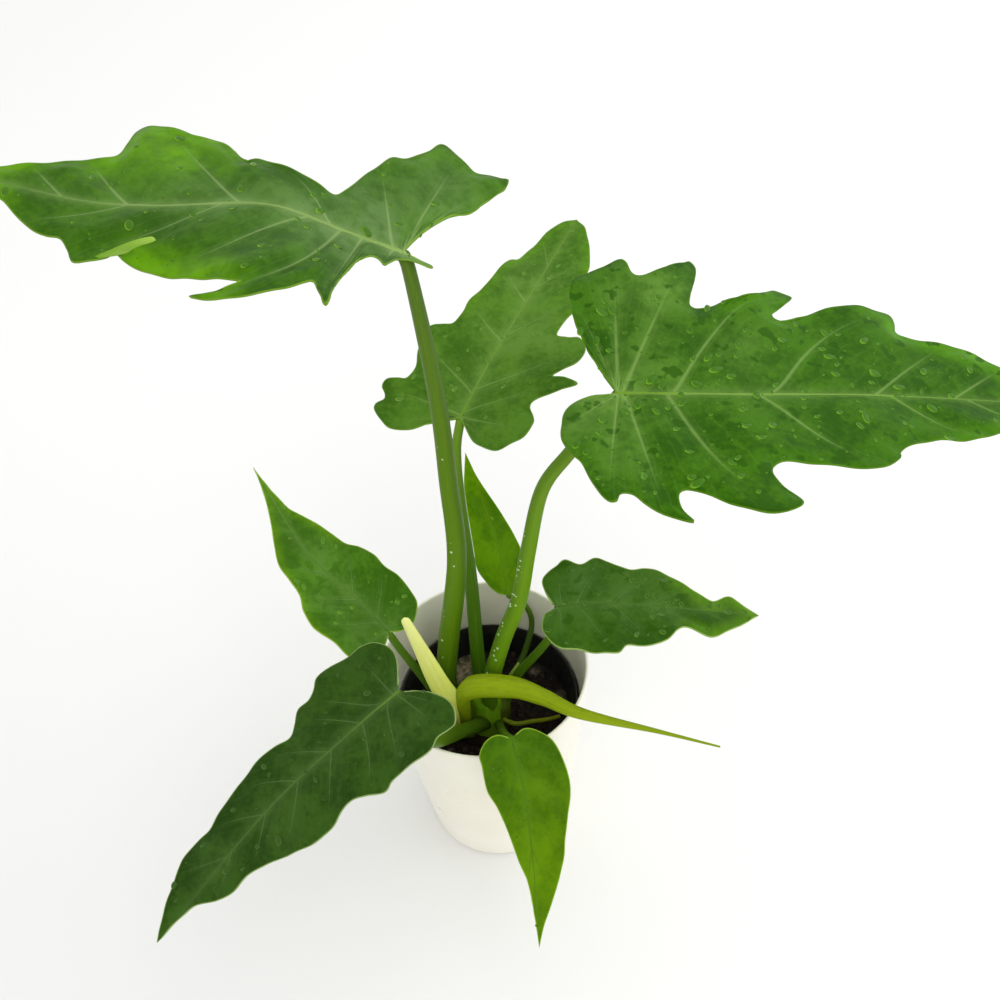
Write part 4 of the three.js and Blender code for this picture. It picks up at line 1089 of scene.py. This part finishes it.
dropMesh = bmesh.new()
beadFinishes = []
for name, own in leaves.items():
    leaf = {**bladeShared, **own, "look": green[name]}
    halves = makeBlade(name, leaf)
    stalk = bmesh.new()
    growStalk(stalk, leaf["petiole"])
    faceOut(stalk)
    stalkLength = smoothPath(leaf["petiole"]["route"])[1][-1]
    material = stalkMaterial(name + "Stalk", {**stalkLooks[name], "length": stalkLength / 12})
    makePiece(name + "_petiole_fine", stalk, [material], name + "_petiole", "petiole")
    scatterDrops(dropMesh, leaf, halves, len(beadFinishes))
    beadFinishes.append(beadMaterial(name + "Beads", leaf["look"]))
    print("grown:", name)

# beads on the two front stalks: leaf, how many, from and to which share of the stalk
stalkBeads = {
    "seed": 9, "size": 0.85, "least": 0.3, "height": 0.6, "colour": (170, 196, 140),
    "towards": (-0.75, -0.6, 0.25), "scatter": 0.5,
    "stalks": (("leaf_1", 14, 0.1, 0.7), ("leaf_2", 32, 0.12, 0.6)),
}
sparkle, tree, shader = newMaterial("stalkBeads", roughness=0.06, specular=1.0)
shader.inputs["Base Color"].default_value = paint(*stalkBeads["colour"])
beadFinishes.append(sparkle)
pick = random.Random(stalkBeads["seed"])
for name, count, low, high in stalkBeads["stalks"]:
    line, run = smoothPath(leaves[name]["petiole"]["route"])
    radii = leaves[name]["petiole"]["radii"]
    for _ in range(count):
        share = pick.uniform(low, high)
        centre, ahead = (Vector(along(line, run, np.array([share * run[-1] + on]))[0]) for on in (0, 1))
        ahead = ahead - centre
        off = stalkBeads["scatter"]
        out = Vector(stalkBeads["towards"]) + Vector([pick.uniform(-off, off) for _ in range(3)])
        out = (out - ahead * (out @ ahead)).normalized()
        radius = np.interp(share * (len(radii) - 1), range(len(radii)), radii)
        size = stalkBeads["size"] * pick.uniform(stalkBeads["least"], 1)
        shape = (size, size, size * stalkBeads["height"])
        addBead(dropMesh, centre + out * radius, out, 0, shape, len(beadFinishes) - 1)

makePiece("water_beads", dropMesh, beadFinishes, slotName="leaf_2")
print("beads scattered")

# stem base: three shoots that stand in a dark foot
crown = {
    "shootForm": {"roundTop": 5, "ribs": 0.02, "sides": 40, "steps": 40},
    "shoots": [
        {
            "route": [(-12, -3, 86), (-16, -2, 104), (-19, -1, 117)], "radii": [9.0, 8.2, 6.6],
            "look": {
                "length": 3, "foot": (70, 60, 14), "middle": (104, 116, 16), "top": (116, 134, 20),
                "streak": (124, 104, 40),
            },
        },
        {
            "route": [(-3, -3, 86), (-2, -1, 106), (-1, 1, 122)], "radii": [10, 10, 8.2],
            "look": {
                "length": 3, "foot": (76, 104, 14), "middle": (118, 166, 22), "top": (104, 152, 16),
                "streak": (134, 172, 50),
            },
        },
        {
            "route": [(3, -2, 86), (5, 0, 102), (7, 2, 113)], "radii": [8.5, 7.8, 6.2],
            "look": {
                "length": 3, "foot": (50, 34, 18), "middle": (70, 76, 22), "top": (72, 96, 20),
                "streak": (92, 78, 44),
            },
        },
    ],
    "foot": {
        "route": [(-6, -1, 72.2), (-6, -1, 84), (-6, -1, 96)], "radii": [17.9, 17.9, 16], "roundTop": 8,
        "sides": 56, "steps": 30,
        "look": {
            "length": 3, "foot": (34, 25, 18), "middle": (30, 24, 16), "top": (36, 30, 18),
            "streak": (58, 44, 28), "rough": 0.6,
        },
    },
}
mesh = bmesh.new()
skins = []
for part in (*({**crown["shootForm"], **shoot} for shoot in crown["shoots"]), crown["foot"]):
    before = set(mesh.faces)
    growStalk(mesh, part)
    for face in mesh.faces:
        if face not in before:
            face.material_index = len(skins)
    skins.append(stalkMaterial("stemBase" + str(len(skins)), part["look"]))
faceOut(mesh)
makePiece("stem_base_fine", mesh, skins, "stem_base", "stem")

# sheath, rolled leaf, bud and root
youngParts = {
    "cataphyll": {
        "slot": "sheath",
        "form": {
            "route": [(-17, -12, 106), (-21, -12, 135), (-27, -8, 152), (-34, -1, 176), (-41, 5, 201)],
            "radii": [5.5, 7, 6, 4.2, 2.4], "flat": 0.55, "groove": 0.2, "roundTop": 3, "ribs": 0.01,
            "steps": 70, "sides": 40,
        },
        "look": {
            "length": 8, "foot": (176, 196, 10), "middle": (226, 234, 104), "top": (242, 244, 150),
            "streak": (240, 244, 170),
        },
    },
    "rolled_leaf": {
        "slot": "young_leaf",
        "form": {
            "route": [
                (-16, -10, 101), (-12, -13, 148), (13, -20, 159), (31, -31, 163), (51, -47, 168),
                (90, -67, 176), (120, -83, 182),
            ],
            "radii": [5.5, 6, 6.5, 4.5, 2.6, 1.2, 0.5], "flat": 0.75, "side": (0, 1, 0.6), "spiral": 0.14,
            "steps": 140, "sides": 36,
        },
        "look": {
            "length": 16, "foot": (90, 100, 14), "middle": (146, 168, 20), "top": (132, 154, 18),
            "streak": (104, 130, 8),
        },
    },
    "bud": {
        "slot": "young_leaf",
        "form": {
            "route": [(8, 5, 104), (14, 11, 119), (20, 15, 130)], "radii": [2.6, 2.4, 0.6], "flat": 0.8,
            "roundTop": 1, "steps": 30, "sides": 20,
        },
        "look": {
            "length": 3, "foot": (92, 122, 20), "middle": (120, 156, 34), "top": (170, 190, 90),
            "streak": (150, 180, 70),
        },
    },
    "aerial_root": {
        "slot": "root",
        "form": {
            "route": [(5, -5, 103), (14, -10, 102), (24, -9, 101), (34, -8, 100), (42, -6, 99)],
            "radii": [1.5, 1.4, 1.2], "ribs": 0.03, "roundTop": 1.2, "steps": 60, "sides": 16,
        },
        "look": {
            "length": 6, "foot": (96, 112, 14), "middle": (124, 140, 20), "top": (140, 150, 26),
            "streak": (104, 104, 24),
        },
    },
}
for name, part in youngParts.items():
    mesh = bmesh.new()
    growStalk(mesh, part["form"])
    faceOut(mesh)
    makePiece(name + "_fine", mesh, [stalkMaterial(name + "Skin", part["look"])], name, part["slot"])
print("crown made")

# cover pot: a section turned round the z axis
coverPot = {
    "height": 153, "rim": 60, "base": 44.5, "wall": 1.8, "floor": 3, "foot": 3, "sides": 160,
    "outside": (20, 45, 70, 95, 120, 140), "inside": (130, 100, 70, 40, 12),
    "footArc": (0.5, 0.9, 1.25, 1.57), "lipArc": (0.5, 1.0, 1.57, 2.1, 2.6),
    "corner": ((6, 0.8), (3, 3.5)),  # inside, at the floor: height, and how far in from the wall
    "cream": (242, 237, 219), "bright": (248, 244, 231), "speck": (214, 203, 180),
    "cloudy": 14.0, "fine": 420.0,
}


def coverSection(p):
    lip, foot = p["wall"] / 2, p["foot"]

    def radius(z):
        return p["base"] + (p["rim"] - p["base"]) * z / p["height"]

    points = [(0, 0), (p["base"] - foot, 0)]
    points += [(radius(foot) - foot * (1 - math.sin(a)), foot * (1 - math.cos(a))) for a in p["footArc"]]
    points += [(radius(z), z) for z in (*p["outside"], p["height"] - lip)]
    rimX, rimZ = p["rim"] - lip, p["height"] - lip
    points += [(rimX + lip * math.cos(a), rimZ + lip * math.sin(a)) for a in p["lipArc"]]
    points += [(radius(z) - p["wall"], z) for z in (p["height"] - lip, *p["inside"])]
    points += [(radius(z) - p["wall"] - inset, z) for z, inset in p["corner"]]
    return [*points, (0, p["floor"])]


mesh = bmesh.new()
verts = [mesh.verts.new((x * mm, 0, z * mm)) for x, z in coverSection(coverPot)]
edges = [mesh.edges.new(pair) for pair in zip(verts, verts[1:])]
bmesh.ops.spin(
    mesh, geom=verts + edges, cent=(0, 0, 0), axis=(0, 0, 1), angle=fullTurn, steps=coverPot["sides"],
    use_merge=True,
)
bmesh.ops.remove_doubles(mesh, verts=mesh.verts[:], dist=mergeGap)
faceOut(mesh)
glaze, tree, shader = newMaterial("creamGlaze", roughness=0.3, coat=0.35, coatRoughness=0.08)
place = objectPlace(tree)
soft = cloud(tree, place, coverPot["cloudy"])
fine = cloud(tree, place, coverPot["fine"], 2.0)
cream, bright, speck = (paint(*coverPot[title]) for title in ("cream", "bright", "speck"))
colour = blendColour(tree, stretch(tree, soft, 0.0, 1.0, 0.35, 0.65), cream, bright)
specks = stretch(tree, fine, 0.0, 0.35, 0.72, 0.8)
tree.links.new(blendColour(tree, specks, colour, speck), shader.inputs["Base Color"])
tree.links.new(stretch(tree, soft, 0.24, 0.36), shader.inputs["Roughness"])
bumpFrom(tree, plus(tree, soft, times(tree, fine, 0.08)), 0.12, 0.001, shader)
makePiece("cover_pot_fine", mesh, [glaze], "cover_pot", "cream_glaze")

# grower's pot: the solid itself, in black moulded plastic
growerPot = {"black": (22, 22, 21), "dust": (52, 46, 40), "dusty": 60.0, "grain": 900.0}
plastic, tree, shader = newMaterial("blackPlastic", roughness=0.5)
place = objectPlace(tree)
dust = cloud(tree, place, growerPot["dusty"], 4.0)
black, grey = paint(*growerPot["black"]), paint(*growerPot["dust"])
colour = blendColour(tree, stretch(tree, dust, 0.0, 0.5, 0.5, 0.75), black, grey)
tree.links.new(colour, shader.inputs["Base Color"])
tree.links.new(stretch(tree, dust, 0.42, 0.62), shader.inputs["Roughness"])
bumpFrom(tree, cloud(tree, place, growerPot["grain"]), 0.2, 0.0003, shader)
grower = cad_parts["nursery_pot"]
grower.data.materials.clear()
grower.data.materials.append(plastic)

# soil: rings from the pot's wall to the stem's hole, with crumbs on top
soil = {
    "outer": 49.6, "bottomOuter": 38.3, "hole": 18.4, "holeAt": (-6, -1), "rings": 44, "sides": 180,
    "top": 95, "bottom": 4.7, "holeBottom": 71.8, "topBand": (0.045, 0.955),
    # lumps are (how fine, where in the noise, height); pale beige patches are (x, y, size, strength)
    "lumps": ((0.09, 0.3, 1.5), (0.35, 4, 0.9), (1.1, 9, 0.5)),
    "pale": ((-13, 38, 9, 1.3), (-20, 34, 6, 1.0), (29.5, 30, 3, 0.6), (43, 10, 3, 0.6), (-45, 28, 1.6, 0.9),
             (-26, -20, 1.6, 0.9)),
    "crumbs": 900, "seed": 5, "crumbRing": (0.1, 0.94), "crumbSize": (0.5, 1.9), "power": 2.5, "tilt": 0.5,
    "long": (0.8, 2.2), "high": (0.4, 0.8), "darkShare": 0.93, "tint": (0.2, 0.5),
    # colours from the darkest up, and how fine the patterns are; the lightest is the beige of the pale
    # patches
    "dark": (12, 9, 8), "brown": (34, 25, 20), "crumb": (60, 46, 34), "dry": (178, 162, 138),
    "fibre": (46, 36, 28),
    "coarse": 110.0, "fine": 900.0, "patchy": 260.0,
}


def soilHeight(x, y):
    return soil["top"] + sum(
        height * noise.noise(Vector((x * scale, y * scale, layer))) for scale, layer, height in soil["lumps"]
    )


def soilPale(x, y):
    return min(1, sum(
        share * math.exp(-((x - patchX) ** 2 + (y - patchY) ** 2) / size**2)
        for patchX, patchY, size, share in soil["pale"]
    ))


def ringSpot(inward, turn):
    # from the foot of the wall up, over the top and down into the hole
    holeX, holeY = soil["holeAt"]
    low, high = soil["topBand"]
    if inward < low:
        radius, centreX, centreY, z = soil["bottomOuter"], 0, 0, soil["bottom"]
    elif inward > high:
        radius, centreX, centreY, z = soil["hole"], holeX, holeY, soil["holeBottom"]
    else:
        share = (inward - low) / (high - low)
        radius = soil["outer"] + (soil["hole"] - soil["outer"]) * share
        centreX, centreY, z = holeX * share, holeY * share, None
    x, y = centreX + radius * math.cos(turn), centreY + radius * math.sin(turn)
    return x, y, soilHeight(x, y) if z is None else z


mesh = bmesh.new()
tintLayer, paleLayer = floatLayers(mesh, "tint", "pale")
sheet, where = addSheet(mesh, soil["rings"], soil["sides"])
for vert, (inward, turn) in zip(sheet, where):
    x, y, z = ringSpot(inward, turn * fullTurn)
    vert.co = Vector((x, y, z)) * mm
    vert[paleLayer] = soilPale(x, y)
bmesh.ops.remove_doubles(mesh, verts=sheet, dist=mergeGap)
closeEnds(mesh, sheet)
faceOut(mesh)
pick = random.Random(soil["seed"])
for _ in range(soil["crumbs"]):
    turn, radius = pick.uniform(0, fullTurn), math.sqrt(pick.uniform(*soil["crumbRing"])) * soil["outer"]
    x, y = radius * math.cos(turn), radius * math.sin(turn)
    if math.dist((x, y), soil["holeAt"]) < soil["hole"] + 1:
        continue
    least, spread = soil["crumbSize"]
    size = least + spread * pick.random() ** soil["power"]
    spin = Matrix.Rotation(pick.uniform(*anySpin), 4, "Z")
    spin = spin @ Matrix.Rotation(pick.uniform(-soil["tilt"], soil["tilt"]), 4, "X")
    shape = Matrix.Diagonal((size * pick.uniform(*soil["long"]), size, size * pick.uniform(*soil["high"]), 1))
    spot = Vector((x, y, soilHeight(x, y) + size * 0.1)) * mm
    low, more = soil["tint"]
    tint = low + more * pick.random() ** 2 if pick.random() < soil["darkShare"] else 1.0
    placed = Matrix.Translation(spot) @ spin @ shape
    for vert in bmesh.ops.create_icosphere(mesh, subdivisions=1, radius=mm, matrix=placed)["verts"]:
        vert[tintLayer], vert[paleLayer] = tint, soilPale(x, y)
earth, tree, shader = newMaterial("dampSoil", roughness=0.85, specular=0.3)
place = objectPlace(tree)
coarse = cloud(tree, place, soil["coarse"], 5.0, 0.7)
fine = cloud(tree, place, soil["fine"], 4.0, 0.7)
patchy = stretch(tree, cloud(tree, place, soil["patchy"], 4.0, 0.7), 0.35, 1.0, 0.4, 0.6)
colour = paint(*soil["dark"])
for mask, title in (
    (stretch(tree, coarse, 0.0, 1.0, 0.35, 0.65), "brown"),
    (attribute(tree, "tint"), "crumb"),
    (times(tree, attribute(tree, "pale"), patchy), "dry"),
    (stretch(tree, fine, 0.0, 0.6, 0.55, 0.75), "fibre"),
):
    colour = blendColour(tree, mask, colour, paint(*soil[title]))
tree.links.new(colour, shader.inputs["Base Color"])
tree.links.new(stretch(tree, coarse, 0.65, 0.95), shader.inputs["Roughness"])
bumpFrom(tree, plus(tree, coarse, fine), 0.7, 0.001, shader)
makePiece("soil_fine", mesh, [earth], "soil", "soil")
print("pots and soil made")

# floor: bright paper, with painted shade that makes it a little darker towards the near left corner
paperFloor = {
    "half": 4, "bright": (0.84, 0.84, 0.84, 1), "paintedShade": (0.73, 0.73, 0.715, 1), "from": -0.75, "to": 0.1,
}
floorMesh = bmesh.new()
bmesh.ops.create_grid(floorMesh, x_segments=1, y_segments=1, size=paperFloor["half"])
floor = bpy.data.objects.new("floor", meshData("floor", floorMesh))
bpy.context.collection.objects.link(floor)
paper, tree, shader = newMaterial("whiteFloor", roughness=0.9, specular=0.2)
place = addNode(tree, "ShaderNodeSeparateXYZ", {0: objectPlace(tree)}).outputs
# painted shade: darker towards the near left corner
paintedShade = stretch(tree, plus(tree, place["X"], place["Y"]), 1.0, 0.0, paperFloor["from"], paperFloor["to"])
tree.links.new(blendColour(tree, paintedShade, paperFloor["bright"], paperFloor["paintedShade"]), shader.inputs["Base Color"])
floor.data.materials.append(paper)

# light: two soft lamps and a white room
lights = {
    "key": {"place": (1.05, 0.25, 1.4), "size": 2.4, "power": 15, "colour": (1.0, 0.985, 0.95)},
    "fill": {"place": (0.1, -1.0, 1.5), "size": 1.2, "power": 6, "colour": (1.0, 1.0, 0.98)},
}
room = {"middle": (0, 0, 0.25), "colour": (1, 1, 1, 1), "strength": 0.94}
for name, light in lights.items():
    lamp = bpy.data.lights.new(name, "AREA")
    lamp.size = light["size"]
    lamp.energy = light["power"]
    lamp.color = light["colour"]
    holder = bpy.data.objects.new(name, lamp)
    holder.location = light["place"]
    away = Vector(light["place"]) - Vector(room["middle"])
    holder.rotation_euler = away.to_track_quat("Z", "Y").to_euler()
    bpy.context.collection.objects.link(holder)
world = bpy.data.worlds.new("softbox")
world.use_nodes = True
background = world.node_tree.nodes["Background"]
background.inputs["Color"].default_value = room["colour"]
background.inputs["Strength"].default_value = room["strength"]
bpy.context.scene.world = world

print("scene ready")
